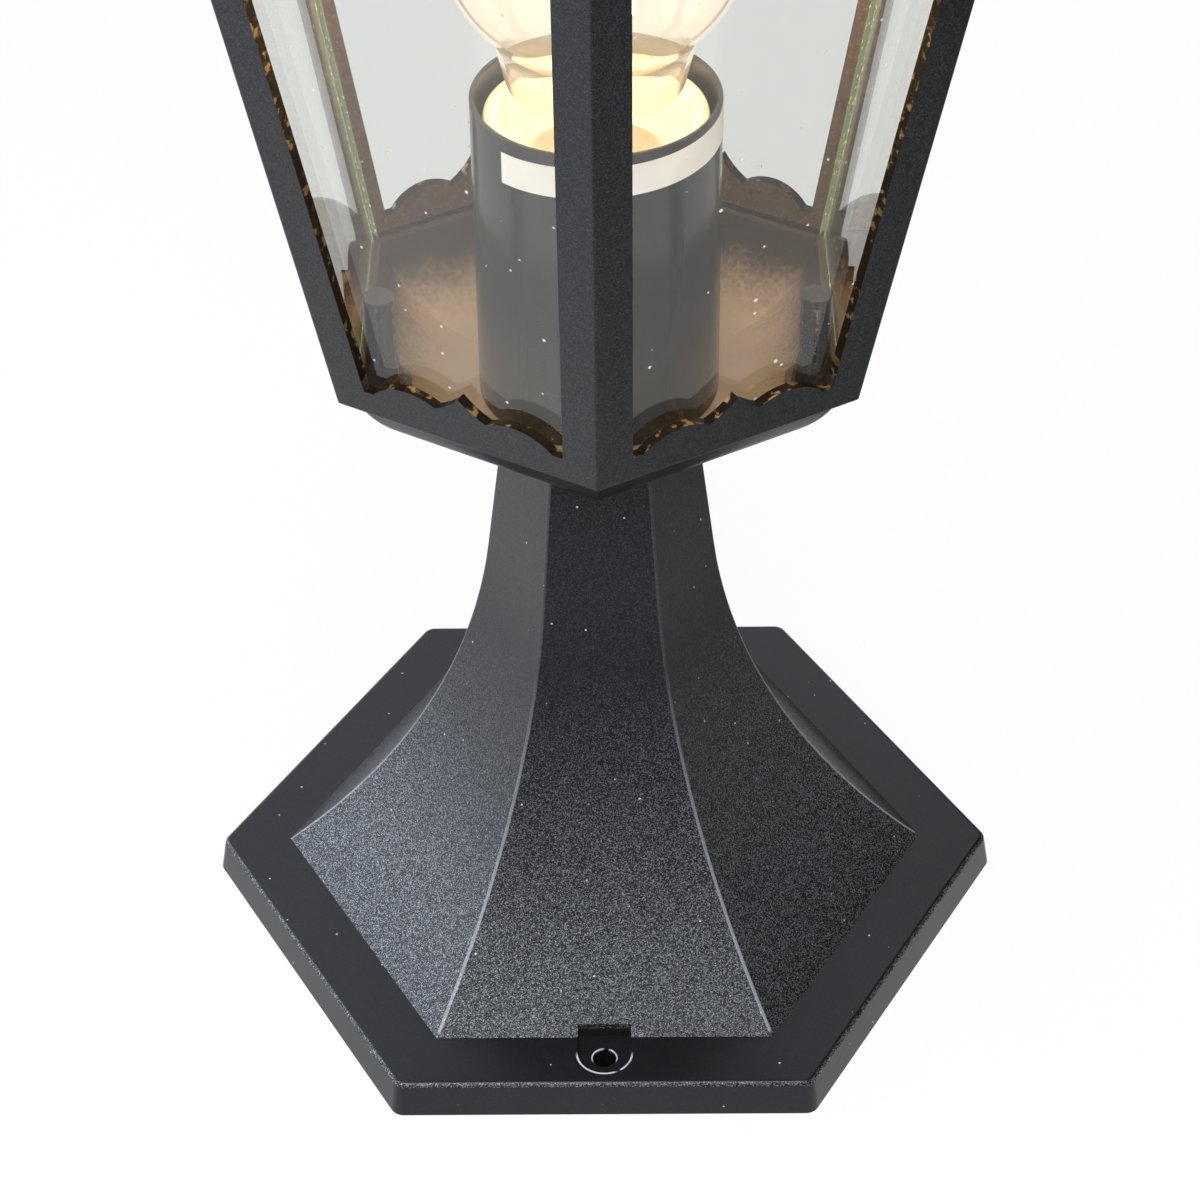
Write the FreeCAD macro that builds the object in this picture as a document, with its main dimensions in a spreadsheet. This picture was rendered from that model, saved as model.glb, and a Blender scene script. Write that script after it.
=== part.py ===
import FreeCAD, Part
import math
import os
import Sketcher

# Hexagonal outdoor pedestal lamp, in millimetres.
# +Z is up, and the origin is on the ground at the middle of the base.
# The pedestal has a flat side towards -Y. The lantern is turned by 30 degrees, so one post is towards -Y.

COS30 = math.cos(math.radians(30))
HEX_SIDES = 6
HALF_SPAN = 200.0
LANTERN_TURN = 30
SCREW_ANGLES = (0, 120, 240)
PEG_ANGLES = (90, 210, 330)
LEVEL_TOLERANCE = 0.1

SIZES = {
    # Pedestal casting: base plate, curved flare and straight neck, given at the corners of the hexagon
    "plate_radius": 87.0,
    "plate_thickness": 8.0,
    "plate_draft": 1.2,
    "plate_edge_round": 1.2,
    "plate_corner_round": 3.0,
    "ridge_round": 0.6,
    "ledge_width": 16.4,
    "neck_radius": 23.55,
    "neck_height": 92.0,
    "neck_top_radius": 18.6,
    "pedestal_height": 131.2,
    "pedestal_wall": 4.5,
    "pedestal_cap": 6.0,
    "bolt_offset": 4.36,
    "bolt_hole_radius": 2.5,
    "recess_radius": 5.6,
    "recess_reach": 6.3,
    "recess_depth": 1.6,
    # Bowl that closes the lantern below
    "dish_rim_radius": 53.4,
    "dish_foot_radius": 27.0,
    "dish_depth": 17.0,
    "dish_arc_radius": 25.2,
    "dish_wall": 3.0,
    # Lantern cage, with its scalloped lower rails
    "cage_radius": 57.0,
    "cage_top_radius": 85.8,
    "cage_height": 145.0,
    "cage_wall": 2.2,
    "cage_round": 0.8,
    "floor_thickness": 3.0,
    "post_width": 7.4,
    "rail_height": 6.0,
    "rail_flat": 2.2,
    "cusp_offset": 5.6,
    "cusp_height": 7.9,
    "hump_radius": 10.8,
    "peak_height": 12.4,
    "peak_arc_radius": 16.0,
    "top_rail": 12.0,
    "ring_height": 10.0,
    "ring_width": 8.0,
    "lip_height": 4.0,
    "lip_wall": 1.8,
    "peg_radius": 3.0,
    "peg_foot_radius": 4.2,
    "peg_height": 19.0,
    "peg_pad_radius": 5.4,
    "glass_thickness": 3.0,
    "glass_clearance": 0.2,
    "glass_edge_gap": 0.8,
    # Lampholder and its tube
    "tube_radius": 23.0,
    "tube_wall": 1.0,
    "tube_height": 65.6,
    "holder_lift": 18.2,
    "holder_radius": 20.6,
    "holder_stem_radius": 15.0,
    "holder_height": 38.0,
    "holder_base": 4.6,
    "holder_step": 9.0,
    "holder_slope": 4.5,
    "collar_radius": 17.6,
    "collar_depth": 10.0,
    "shell_radius": 14.0,
    "shell_wall": 0.5,
    "contact_height": 2.0,
    "contact_width": 4.0,
    "contact_length": 8.0,
    "strip_thickness": 0.6,
    "strip_length": 13.0,
    # Bulb
    "cap_radius": 13.2,
    "cap_wall": 0.4,
    "cap_height": 22.0,
    "tip_radius": 4.5,
    "tip_height": 0.6,
    "insulator_height": 3.0,
    "insulator_radius": 10.5,
    "cap_bore": 5.0,
    "bulb_radius": 28.0,
    "bulb_centre_height": 69.5,
    "bulb_waist_radius": 17.76,
    "bulb_waist_height": 45.23,
    "bulb_shoulder_radius": 11.3,
    "bulb_join_radius": 20.5,
    "bulb_wall": 0.9,
    "bulb_root_depth": 4.0,
    "bulb_neck_rise": 1.5,
    "stem_radius": 3.2,
    "stem_flare_radius": 10.6,
    "stem_flare_height": 10.0,
    "stem_flange": 0.8,
    "stem_height": 40.0,
    "filament_radius": 0.9,
    "filament_length": 32.0,
    "filament_circle": 8.0,
    "support_radius": 0.4,
    "support_post_radius": 0.6,
    # Roof and finial
    "skirt_drop": 10.0,
    "skirt_wall": 3.0,
    "seat_width": 3.0,
    "eave_rise": 4.0,
    "roof_height": 60.0,
    "roof_arc_radius": 110.0,
    "roof_wall": 3.0,
    "roof_round": 0.8,
    "crown_radius": 17.0,
    "finial_radius": 9.0,
    "finial_flange": 3.0,
    "finial_neck_radius": 4.5,
    "finial_cove": 5.0,
    "finial_cove_radius": 6.0,
    "finial_ball_radius": 8.0,
    "stud_radius": 3.0,
    "stud_length": 12.0,
    # Fasteners and the threaded tube through the middle
    "nipple_radius": 5.0,
    "nipple_bore": 3.5,
    "nut_flats": 14.0,
    "nut_height": 4.0,
    "washer_radius": 7.6,
    "washer_thickness": 1.0,
    "finial_nut_flats": 10.0,
    "finial_nut_height": 5.0,
    "screw_radius": 2.0,
    "screw_length": 9.0,
    "screw_head_radius": 3.6,
    "screw_head_height": 2.4,
    "nipple_spare": 2.0,
    "hole_clearance": 0.3,
    "thread_clearance": 0.06,
    "slide_clearance": 0.4,
    # Terminal block on its bracket, inside the neck
    "bracket_thickness": 1.2,
    "bracket_width": 14.0,
    "bracket_offset": 9.5,
    "bracket_reach": 8.5,
    "bracket_length": 46.0,
    "block_depth": 14.0,
    "block_width": 15.0,
    "block_height": 18.0,
    "block_drop": 17.0,
    "small_screw_radius": 1.5,
    "small_head_radius": 2.6,
    "small_head_height": 1.6,
    "small_screw_length": 7.0,
    "earth_screw_length": 4.0,
    "lead_radius": 1.0,
    "lead_offset": 1.9,
}


class Dim:
    """A size: its number, and the formula that ties it to the sheet."""

    def __init__(self, number, formula):
        self.number = number
        self.formula = formula

    def __add__(self, other):
        other = dim(other)
        return Dim(self.number + other.number, f"({self.formula} + {other.formula})")

    def __sub__(self, other):
        other = dim(other)
        return Dim(self.number - other.number, f"({self.formula} - {other.formula})")

    def __mul__(self, other):
        other = dim(other)
        return Dim(self.number * other.number, f"({self.formula} * {other.formula})")

    def __truediv__(self, other):
        other = dim(other)
        return Dim(self.number / other.number, f"({self.formula} / {other.formula})")

    def __neg__(self):
        return Dim(-self.number, f"(0 - {self.formula})")

    def root(self):
        return Dim(math.sqrt(self.number), f"sqrt({self.formula})")


def dim(value):
    """Takes a plain number or a Dim, and gives a Dim."""
    if isinstance(value, Dim):
        return value
    return Dim(float(value), f"({float(value)!r})")


class Sheet:
    """The spreadsheet of driving sizes, read by their names."""

    def __init__(self, doc):
        cells = doc.addObject("Spreadsheet::Sheet", "Sizes")
        for row, (name, value) in enumerate(SIZES.items(), 1):
            cells.set(f"A{row}", name)
            cells.set(f"B{row}", str(value))
            cells.setAlias(f"B{row}", name)
        doc.recompute()

    def __getattr__(self, name):
        return Dim(SIZES[name], f"Sizes.{name}")


def tie(thing, **sizes):
    """Binds properties to the sheet. A double underscore stands for a dot."""
    for name, value in sizes.items():
        thing.setExpression(name.replace("__", "."), dim(value).formula)


def place(thing, across=0, along=0, up=0, turn=None):
    """Gives a piece its place, bound to the sheet."""
    thing.Placement = FreeCAD.Placement(FreeCAD.Vector(), turn or FreeCAD.Rotation())
    tie(thing, Placement__Base__x=across, Placement__Base__y=along, Placement__Base__z=up)
    return thing


def about_z(angle):
    return FreeCAD.Rotation(FreeCAD.Vector(0, 0, 1), angle)


def outward(angle):
    """Lays an upright piece down, pointing away from the axis."""
    return about_z(angle) * FreeCAD.Rotation(FreeCAD.Vector(0, 1, 0), 90)


def origin_feature(body, role):
    return next(item for item in body.Origin.OriginFeatures if item.Role == role)


def new_sketch(body, role):
    sketch = body.newObject("Sketcher::SketchObject", f"{body.Name}_sketch")
    sketch.AttachmentSupport = (origin_feature(body, role), [""])
    sketch.MapMode = "FlatFace"
    return sketch


def bulge(start, end, radius, turn):
    """An arc from start to end: turn is 1 to the left and -1 to the right."""
    chord = end - start
    normal = FreeCAD.Vector(-chord.y, chord.x, 0).normalize()
    offset = math.sqrt(radius ** 2 - (chord.Length / 2) ** 2)
    centre = (start + end) * 0.5 + normal * (offset * turn)
    circle = Part.Circle(centre, FreeCAD.Vector(0, 0, 1), radius)
    angles = [math.atan2(p.y - centre.y, p.x - centre.x) for p in (start, end)]
    return Part.ArcOfCircle(circle, *angles[::turn])


def hold(sketch, edge, end, kind, value):
    """Fixes one coordinate of an edge's end."""
    if dim(value).number == 0:
        axis = -2 if kind == "DistanceX" else -1
        sketch.addConstraint(Sketcher.Constraint("PointOnObject", edge, end, axis))
        return
    index = sketch.addConstraint(Sketcher.Constraint(kind, -1, 1, edge, end, dim(value).number))
    name = f"{kind}_{edge}_{end}"
    sketch.renameConstraint(index, name)
    sketch.setExpression(f"Constraints.{name}", dim(value).formula)


def draw(sketch, corners, arcs=None):
    """Draws one closed outline. arcs gives the radius and turn of each round edge, by its start."""
    arcs = arcs or {}
    spots = [FreeCAD.Vector(dim(across).number, dim(up).number, 0) for across, up in corners]
    edges = []
    for index, start in enumerate(spots):
        end = spots[(index + 1) % len(spots)]
        if index in arcs:
            radius, turn = arcs[index]
            edge = sketch.addGeometry(bulge(start, end, dim(radius).number, turn))
            row = sketch.addConstraint(Sketcher.Constraint("Radius", edge, dim(radius).number))
            sketch.renameConstraint(row, f"radius_{edge}")
            sketch.setExpression(f"Constraints.radius_{edge}", dim(radius).formula)
            edges.append((edge, 1, 2) if turn == 1 else (edge, 2, 1))
        else:
            edges.append((sketch.addGeometry(Part.LineSegment(start, end)), 1, 2))
    for index, (edge, first, last) in enumerate(edges):
        following, start, _ = edges[(index + 1) % len(edges)]
        sketch.addConstraint(Sketcher.Constraint("Coincident", edge, last, following, start))
        hold(sketch, edge, first, "DistanceX", corners[index][0])
        hold(sketch, edge, first, "DistanceY", corners[index][1])


def padded(doc, name, role, corners, length, arcs=None, symmetric=False):
    """A body made by padding one outline."""
    body = doc.addObject("PartDesign::Body", name)
    sketch = new_sketch(body, role)
    draw(sketch, corners, arcs)
    pad = body.newObject("PartDesign::Pad", f"{name}_pad")
    pad.Profile = sketch
    tie(pad, Length=length)
    if symmetric:
        pad.SideType = "Symmetric"
    return body


def turned(doc, name, corners, arcs=None):
    """A body of revolution about its own Z axis, from half its section."""
    body = doc.addObject("PartDesign::Body", name)
    sketch = new_sketch(body, "XZ_Plane")
    draw(sketch, corners, arcs)
    spin = body.newObject("PartDesign::Revolution", f"{name}_spin")
    spin.Profile = sketch
    spin.ReferenceAxis = (sketch, ["V_Axis"])
    spin.Angle = 360
    return body


def hexed(doc, name, profile, turn=0, arcs=None):
    """A six-sided solid whose flats follow a profile of (distance from the axis, height), from low to high.

    It is where three slabs meet, one for each pair of opposite sides. The first pair faces Y, plus turn.
    """
    arcs = arcs or {}
    count = len(profile)
    corners = profile + [(-dim(across), up) for across, up in reversed(profile)]
    both = dict(arcs)
    for index, bend in arcs.items():
        both[2 * count - 2 - index] = bend
    slabs = []
    for index in range(HEX_SIDES // 2):
        slab = padded(doc, f"{name}_slab{index}", "YZ_Plane", corners, 2 * HALF_SPAN, both, True)
        slab.Placement = FreeCAD.Placement(FreeCAD.Vector(), about_z(turn + 60 * index))
        slabs.append(slab)
    solid = doc.addObject("Part::MultiCommon", name)
    solid.Shapes = slabs
    return solid


def rod(doc, name, radius, height, across=0, along=0, up=0, turn=None):
    solid = doc.addObject("Part::Cylinder", name)
    tie(solid, Radius=radius, Height=height)
    return place(solid, across, along, up, turn)


def spoke(doc, name, radius, start, length, up, angle):
    """A level cylinder that points away from the axis."""
    turn = math.radians(angle)
    return rod(doc, name, radius, length, start * math.cos(turn), start * math.sin(turn), up, outward(angle))


def bore(doc, name, radius, start, length, up, along=0):
    """A level cylinder along X, set aside along Y."""
    return rod(doc, name, radius, length, start, along, up, outward(0))


def block(doc, name, low, high):
    """A box between two corners."""
    solid = doc.addObject("Part::Box", name)
    tie(solid, Length=dim(high[0]) - low[0], Width=dim(high[1]) - low[1], Height=dim(high[2]) - low[2])
    return place(solid, *low)


def cut(doc, name, base, *tools):
    tool = tools[0]
    if len(tools) > 1:
        tool = doc.addObject("Part::MultiFuse", f"{name}_tools")
        tool.Shapes = list(tools)
    solid = doc.addObject("Part::Cut", name)
    solid.Base = base
    solid.Tool = tool
    return solid


def fuse(doc, name, *pieces):
    solid = doc.addObject("Part::MultiFuse", name)
    solid.Shapes = list(pieces)
    return solid


def group(doc, name, pieces):
    solid = doc.addObject("Part::Compound", name)
    solid.Links = pieces
    return solid


def nut(doc, name, flats, height, hole, up):
    """A hexagon nut, with two flats along X."""
    hexagon = doc.addObject("Part::Prism", f"{name}_hexagon")
    hexagon.Polygon = HEX_SIDES
    tie(hexagon, Circumradius=flats / (2 * COS30), Height=height)
    place(hexagon, up=up, turn=about_z(30))
    return cut(doc, name, hexagon, rod(doc, f"{name}_hole", hole, height, up=up))


def washer(doc, name, radius, thickness, hole, up):
    disc = rod(doc, f"{name}_disc", radius, thickness, up=up)
    return cut(doc, name, disc, rod(doc, f"{name}_hole", hole, thickness, up=up))


def rise(edge):
    """How far an edge climbs."""
    return abs(edge.Vertexes[0].Z - edge.Vertexes[-1].Z)


def round_edges(doc, body, radius, test):
    """Rounds the body's edges that pass a test."""
    doc.recompute()
    before = body.Tip
    names = [f"Edge{index}" for index, edge in enumerate(before.Shape.Edges, 1) if test(edge)]
    fillet = body.newObject("PartDesign::Fillet", f"{body.Name}_round")
    fillet.Base = (before, names)
    tie(fillet, Radius=radius)


def rounded(doc, name, solid, radius, test):
    """A body that takes a solid and rounds its edges that pass a test."""
    body = doc.addObject("PartDesign::Body", name)
    body.BaseFeature = solid
    round_edges(doc, body, radius, test)
    return body


class Levels:
    """The heights and flat-to-axis distances that several pieces share."""

    def __init__(self, size):
        self.size = size
        self.cage = size.pedestal_height + size.dish_depth
        self.floor = self.cage + size.floor_thickness
        self.cage_top = self.cage + size.cage_height
        self.ring = self.cage_top - size.ring_height
        self.cap = size.pedestal_height - size.pedestal_cap
        self.bowl = size.pedestal_height + size.dish_wall
        self.rim_flat = size.dish_rim_radius * COS30 - size.dish_wall
        self.tube_floor = self.bowl + size.tube_wall
        self.holder = self.tube_floor + size.washer_thickness + size.nut_height + size.holder_lift
        self.contact = self.holder + size.holder_base
        self.bulb = self.contact + size.contact_height
        self.stem = self.bulb + size.cap_height - size.bulb_root_depth - size.stem_flange
        self.eave = self.cage_top + size.eave_rise
        self.crown = self.eave + size.roof_height
        self.eave_flat = self.cage_flat(self.cage_top) + size.slide_clearance + size.skirt_wall
        self.mouth_flat = self.cage_flat(self.cage_top) - size.cage_wall - size.ring_width
        self.screw = self.cage_top - size.ring_height / 2
        self.block = self.cap - size.block_drop - size.block_height
        self.hold = self.block + size.block_height / 2
        self.earth = (self.cap - size.bracket_length + self.block) / 2

    def cage_corner(self, height):
        """The cage's corner radius at a height."""
        size = self.size
        share = (dim(height) - self.cage) / size.cage_height
        return size.cage_radius + (size.cage_top_radius - size.cage_radius) * share

    def cage_flat(self, height):
        """The distance of the cage's outer faces from the axis at a height."""
        return self.cage_corner(height) * COS30

    def pane_flat(self, height):
        """The distance of the panes' outer faces from the axis at a height."""
        return self.cage_flat(height) - self.size.cage_wall - self.size.glass_clearance


def tangent_radius(start, end, heading):
    """The radius of the arc that leaves start along a heading and reaches end."""
    across, up = dim(end[0]) - start[0], dim(end[1]) - start[1]
    reach = across * across + up * up
    length = (heading[0] * heading[0] + heading[1] * heading[1]).root()
    lean = heading[0] * up - heading[1] * across
    return reach * length / (lean * 2)


def foot_flat(size):
    """The distance of the flare's foot from the axis, inside the plate's ledge."""
    return (size.plate_radius - size.ledge_width) * COS30


def flare_profile(size, inset, low, high):
    """The pedestal's foot, flare and neck, set in by a wall."""
    foot = (foot_flat(size) - inset, size.plate_thickness)
    neck = (size.neck_radius * COS30 - inset, size.neck_height)
    top_flat = size.neck_top_radius * COS30
    taper = (size.neck_radius * COS30 - top_flat) / (size.pedestal_height - size.neck_height)
    top = (top_flat + taper * (size.pedestal_height - dim(high)) - inset, high)
    heading = (taper * (size.pedestal_height - size.neck_height), size.neck_height - size.pedestal_height)
    return [(foot[0], low), foot, neck, top], tangent_radius(neck, foot, heading)


def pedestal_outside(doc, size):
    """The outer form: a drafted plate with rounded corners, then flare and neck with soft ridges."""
    plate_flat = size.plate_radius * COS30
    profile, radius = flare_profile(size, 0, size.plate_thickness, size.pedestal_height)
    outer = [(plate_flat, 0), (plate_flat - size.plate_draft, size.plate_thickness)] + profile[1:]
    solid = hexed(doc, "pedestal_hexagon", outer, arcs={2: (radius, -1)})
    halfway = (foot_flat(size).number + plate_flat.number) / 2
    thickness = size.plate_thickness.number

    def at_corner(edge):
        return edge.CenterOfMass.z < thickness and rise(edge) > thickness / 2

    def at_plate_top(edge):
        middle = edge.CenterOfMass
        level = abs(middle.z - thickness) < LEVEL_TOLERANCE and rise(edge) < LEVEL_TOLERANCE
        return level and math.hypot(middle.x, middle.y) > halfway

    def at_ridge(edge):
        return rise(edge) > thickness * 2

    body = rounded(doc, "pedestal_outside", solid, size.plate_corner_round, at_corner)
    round_edges(doc, body, size.plate_edge_round, at_plate_top)
    round_edges(doc, body, size.ridge_round, at_ridge)
    return body


def bolt_recess(doc, size, side):
    """The hollows for one bolt: its hole, and the recess that runs into the foot of the flare."""
    centre = (foot_flat(size) + size.bolt_offset) * side
    ends = sorted((centre, centre - size.recess_reach * side), key=lambda spot: spot.number)
    floor = size.plate_thickness - size.recess_depth
    radius = size.recess_radius
    return [
        block(doc, f"recess_slot{side + 1}", (-radius, ends[0], floor), (radius, ends[1], size.neck_height)),
        rod(doc, f"recess_end{side + 1}", radius, size.plate_thickness, 0, centre, floor),
        rod(doc, f"bolt_hole{side + 1}", size.bolt_hole_radius, size.plate_thickness, 0, centre),
    ]


def pedestal_base(doc, size, level):
    """Hollow casting: base plate with two bolt holes in recesses, six-sided flare and neck."""
    profile, radius = flare_profile(size, size.pedestal_wall, 0, level.cap)
    hollow = hexed(doc, "pedestal_hollow", profile, arcs={1: (radius, -1)})
    hole = rod(doc, "pedestal_hole", size.nipple_radius + size.hole_clearance, size.pedestal_height)
    recesses = bolt_recess(doc, size, -1) + bolt_recess(doc, size, 1)
    return cut(doc, "pedestal_base", pedestal_outside(doc, size), hollow, hole, *recesses)


def lantern_bowl(doc, size, level):
    """The outer form of the six-sided bowl between the neck and the cage."""
    foot, rim = size.dish_foot_radius * COS30, size.dish_rim_radius * COS30
    outside = [(foot, size.pedestal_height), (rim, level.cage)]
    return hexed(doc, "lantern_bowl", outside, LANTERN_TURN, {0: (size.dish_arc_radius, 1)})


def bowl_hollows(doc, size, level):
    """The inside of the bowl, which is the lantern's floor, and the hole for the threaded tube."""
    inside = [(size.dish_foot_radius * COS30, level.bowl), (level.rim_flat, level.floor)]
    bend = (size.dish_arc_radius - size.dish_wall, 1)
    loose = size.nipple_radius + size.hole_clearance
    return [
        hexed(doc, "bowl_inside", inside, LANTERN_TURN, {0: bend}),
        rod(doc, "bowl_hole", loose, size.dish_depth, up=size.pedestal_height),
    ]


def window(doc, size, level, index):
    """The opening in one side of the cage, above its scalloped rail."""
    sill, top = level.cage + size.rail_height, level.cage_top - size.top_rail
    half_low = level.cage_corner(sill) / 2 - size.post_width
    half_top = level.cage_corner(top) / 2 - size.post_width
    flat_end = half_low - size.rail_flat
    cusp, cusp_up = size.cusp_offset, level.cage + size.cusp_height
    corners = [
        (-half_low, sill), (-flat_end, sill), (-cusp, cusp_up), (0, level.cage + size.peak_height),
        (cusp, cusp_up), (flat_end, sill), (half_low, sill), (half_top, top), (-half_top, top),
    ]
    hump, peak = (size.hump_radius, -1), (size.peak_arc_radius, 1)
    arcs = {1: hump, 2: peak, 3: peak, 4: hump}
    opening = padded(doc, f"window{index}", "YZ_Plane", corners, HALF_SPAN, arcs)
    opening.Placement = FreeCAD.Placement(FreeCAD.Vector(), about_z(60 * index))
    return opening


def cage_shell(doc, size, level):
    """The cage's floor, posts and rails, with soft ridges and lower edges."""
    flat, wall = level.cage_flat, size.cage_wall
    outside = [(flat(level.cage), level.cage), (flat(level.cage_top), level.cage_top)]
    inside = [(flat(level.floor) - wall, level.floor), (flat(level.ring) - wall, level.ring)]
    mouth = [(level.mouth_flat, level.ring), (level.mouth_flat, level.cage_top)]
    solid = hexed(doc, "cage_hexagon", outside, LANTERN_TURN)
    top = level.cage_top.number

    def below_top(edge):
        return edge.CenterOfMass.z < top - LEVEL_TOLERANCE

    body = rounded(doc, "cage_outside", solid, size.cage_round, below_top)
    windows = [window(doc, size, level, index) for index in range(HEX_SIDES)]
    return cut(
        doc, "cage_shell", body, hexed(doc, "cage_inside", inside, LANTERN_TURN),
        hexed(doc, "cage_mouth", mouth, LANTERN_TURN), *windows,
    )


def cage_lip(doc, size, level):
    """The lip inside the panes' upper edges."""
    heights = (level.ring - size.lip_height, level.ring)
    room = size.glass_thickness + size.glass_clearance
    outside = [(level.pane_flat(at) - room, at) for at in heights]
    inside = [(across - size.lip_wall, at) for across, at in outside]
    solid = hexed(doc, "lip_outside", outside, LANTERN_TURN)
    return cut(doc, "cage_lip", solid, hexed(doc, "lip_inside", inside, LANTERN_TURN))


def lantern_frame(doc, size, level):
    """Lantern casting: bowl, ledge, posts with scalloped rails, top ring with a lip, and three pegs."""
    pegs = [peg(doc, size, level, angle) for angle in PEG_ANGLES]
    body = fuse(doc, "cage_on_bowl", cage_shell(doc, size, level), lantern_bowl(doc, size, level))
    opened = cut(doc, "cage_opened", body, *bowl_hollows(doc, size, level))
    whole = fuse(doc, "cage_whole", opened, cage_lip(doc, size, level), *pegs)
    tap = size.screw_radius + size.thread_clearance
    holes = [
        spoke(doc, f"ring_hole{angle}", tap, level.mouth_flat, size.ring_width * 2, level.screw, angle)
        for angle in SCREW_ANGLES
    ]
    return cut(doc, "lantern_frame", whole, *holes)


def peg(doc, size, level, angle):
    """A cast peg with a spread foot, on a pad of the ledge, that holds two panes in an inner corner."""
    turn = math.radians(angle)
    foot_height = size.peg_height / 3
    pad, depth = size.peg_pad_radius, size.floor_thickness
    corners = [
        (0, -depth), (pad, -depth), (pad, 0), (size.peg_foot_radius, 0), (size.peg_radius, foot_height),
        (size.peg_radius, size.peg_height), (0, size.peg_height),
    ]
    pane_face = level.pane_flat(level.floor) - size.glass_thickness
    circle = (pane_face - size.peg_foot_radius - size.glass_clearance) / COS30
    body = turned(doc, f"peg{angle}", corners)
    return place(body, circle * math.cos(turn), circle * math.sin(turn), level.floor)


def glass_pane(doc, size, level, index):
    """One flat pane that stands on the cage's ledge, behind a window."""
    low, high = level.floor, level.ring - size.glass_clearance
    outer = [level.pane_flat(at) for at in (low, high)]
    section = [
        (outer[0] - size.glass_thickness, low), (outer[0], low),
        (outer[1], high), (outer[1] - size.glass_thickness, high),
    ]
    sheet = padded(doc, f"pane_sheet{index}", "XZ_Plane", section, HALF_SPAN, symmetric=True)
    half = [(across - size.glass_thickness) * (0.5 / COS30) - size.glass_edge_gap for across in outer]
    front = [(-half[0], low), (half[0], low), (half[1], high), (-half[1], high)]
    trim = padded(doc, f"pane_trim{index}", "YZ_Plane", front, HALF_SPAN)
    pane = doc.addObject("Part::Common", f"glass_pane_{index + 1}")
    pane.Base = sheet
    pane.Tool = trim
    pane.Placement = FreeCAD.Placement(FreeCAD.Vector(), about_z(60 * index))
    return pane


def roof(doc, size, level):
    """Hollow six-sided roof with a skirt over the cage's top ring, and a ledge that rests on it."""
    crown_flat = size.crown_radius * COS30
    skirt_low = level.cage_top - size.skirt_drop
    outside = [(level.eave_flat, skirt_low), (level.eave_flat, level.eave), (crown_flat, level.crown)]
    socket_flat = level.cage_flat(level.cage_top) + size.slide_clearance
    socket = [(socket_flat, skirt_low), (socket_flat, level.cage_top)]
    seat_flat = level.cage_flat(level.cage_top) - size.seat_width
    inside = [(seat_flat, level.cage_top), (crown_flat - size.roof_wall, level.crown - size.roof_wall)]
    bend = (size.roof_arc_radius, -1)
    solid = hexed(doc, "roof_hexagon", outside, LANTERN_TURN, {1: bend})
    low, high = skirt_low.number, level.crown.number

    def between_ends(edge):
        return low + LEVEL_TOLERANCE < edge.CenterOfMass.z < high - LEVEL_TOLERANCE

    body = rounded(doc, "roof_outside", solid, size.roof_round, between_ends)
    loose = size.screw_radius + size.hole_clearance
    holes = [
        spoke(doc, f"skirt_hole{angle}", loose, socket_flat, size.skirt_wall * 2, level.screw, angle)
        for angle in SCREW_ANGLES
    ]
    return cut(
        doc, "roof", body, hexed(doc, "roof_socket", socket, LANTERN_TURN),
        hexed(doc, "roof_hollow", inside, LANTERN_TURN, {0: bend}), *holes,
        rod(doc, "roof_stud_hole", size.stud_radius + size.hole_clearance, size.roof_height, up=level.eave),
    )


def screw(doc, name, radius, length, head_radius, head_height):
    """A dome-head screw: its head stands on its own level zero, with the shank below."""
    dome = (head_radius * head_radius + head_height * head_height) / (head_height * 2)
    corners = [(0, -length), (radius, -length), (radius, 0), (head_radius, 0), (0, head_height)]
    return turned(doc, name, corners, {3: (dome, 1)})


def roof_screws(doc, size, level):
    screws = []
    for angle in SCREW_ANGLES:
        piece = screw(doc, f"roof_screw{angle}", size.screw_radius, size.screw_length,
                      size.screw_head_radius, size.screw_head_height)
        turn = math.radians(angle)
        flat = level.eave_flat
        screws.append(place(piece, flat * math.cos(turn), flat * math.sin(turn), level.screw, outward(angle)))
    return group(doc, "roof_screws", screws)


def finial(doc, size, level):
    """Turned knob with a stud that passes through the crown."""
    flange, neck = size.finial_radius, size.finial_neck_radius
    cove_top = size.finial_flange + size.finial_cove
    ball = size.finial_ball_radius
    ball_height = ball + (ball * ball - neck * neck).root()
    corners = [
        (0, -size.stud_length), (size.stud_radius, -size.stud_length), (size.stud_radius, 0), (flange, 0),
        (flange, size.finial_flange), (neck, cove_top), (ball, cove_top + ball_height - ball),
        (0, cove_top + ball_height),
    ]
    body = turned(doc, "finial", corners, {4: (size.finial_cove_radius, -1), 5: (ball, 1), 6: (ball, 1)})
    return place(body, up=level.crown)


def socket_tube(doc, size, level):
    """Drawn tube with a floor, around the lampholder."""
    radius, wall = size.tube_radius, size.tube_wall
    hole = size.nipple_radius + size.hole_clearance
    corners = [
        (hole, 0), (radius, 0), (radius, size.tube_height), (radius - wall, size.tube_height),
        (radius - wall, wall), (hole, wall),
    ]
    return place(turned(doc, "socket_tube", corners), up=level.bowl)


def lampholder(doc, size, level):
    """Glazed porcelain body with a collar around the bulb's neck."""
    height, step = size.holder_height, size.holder_step
    hole = size.nipple_radius + size.thread_clearance
    well = size.shell_radius + size.thread_clearance
    collar_floor = height - size.collar_depth
    stem, outer, collar = size.holder_stem_radius, size.holder_radius, size.collar_radius
    corners = [
        (hole, 0), (stem, 0), (stem, step), (outer, step + size.holder_slope), (outer, height),
        (collar, height), (collar, collar_floor), (well, collar_floor), (well, size.holder_base),
        (hole, size.holder_base),
    ]
    return place(turned(doc, "lampholder", corners), up=level.holder)


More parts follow.
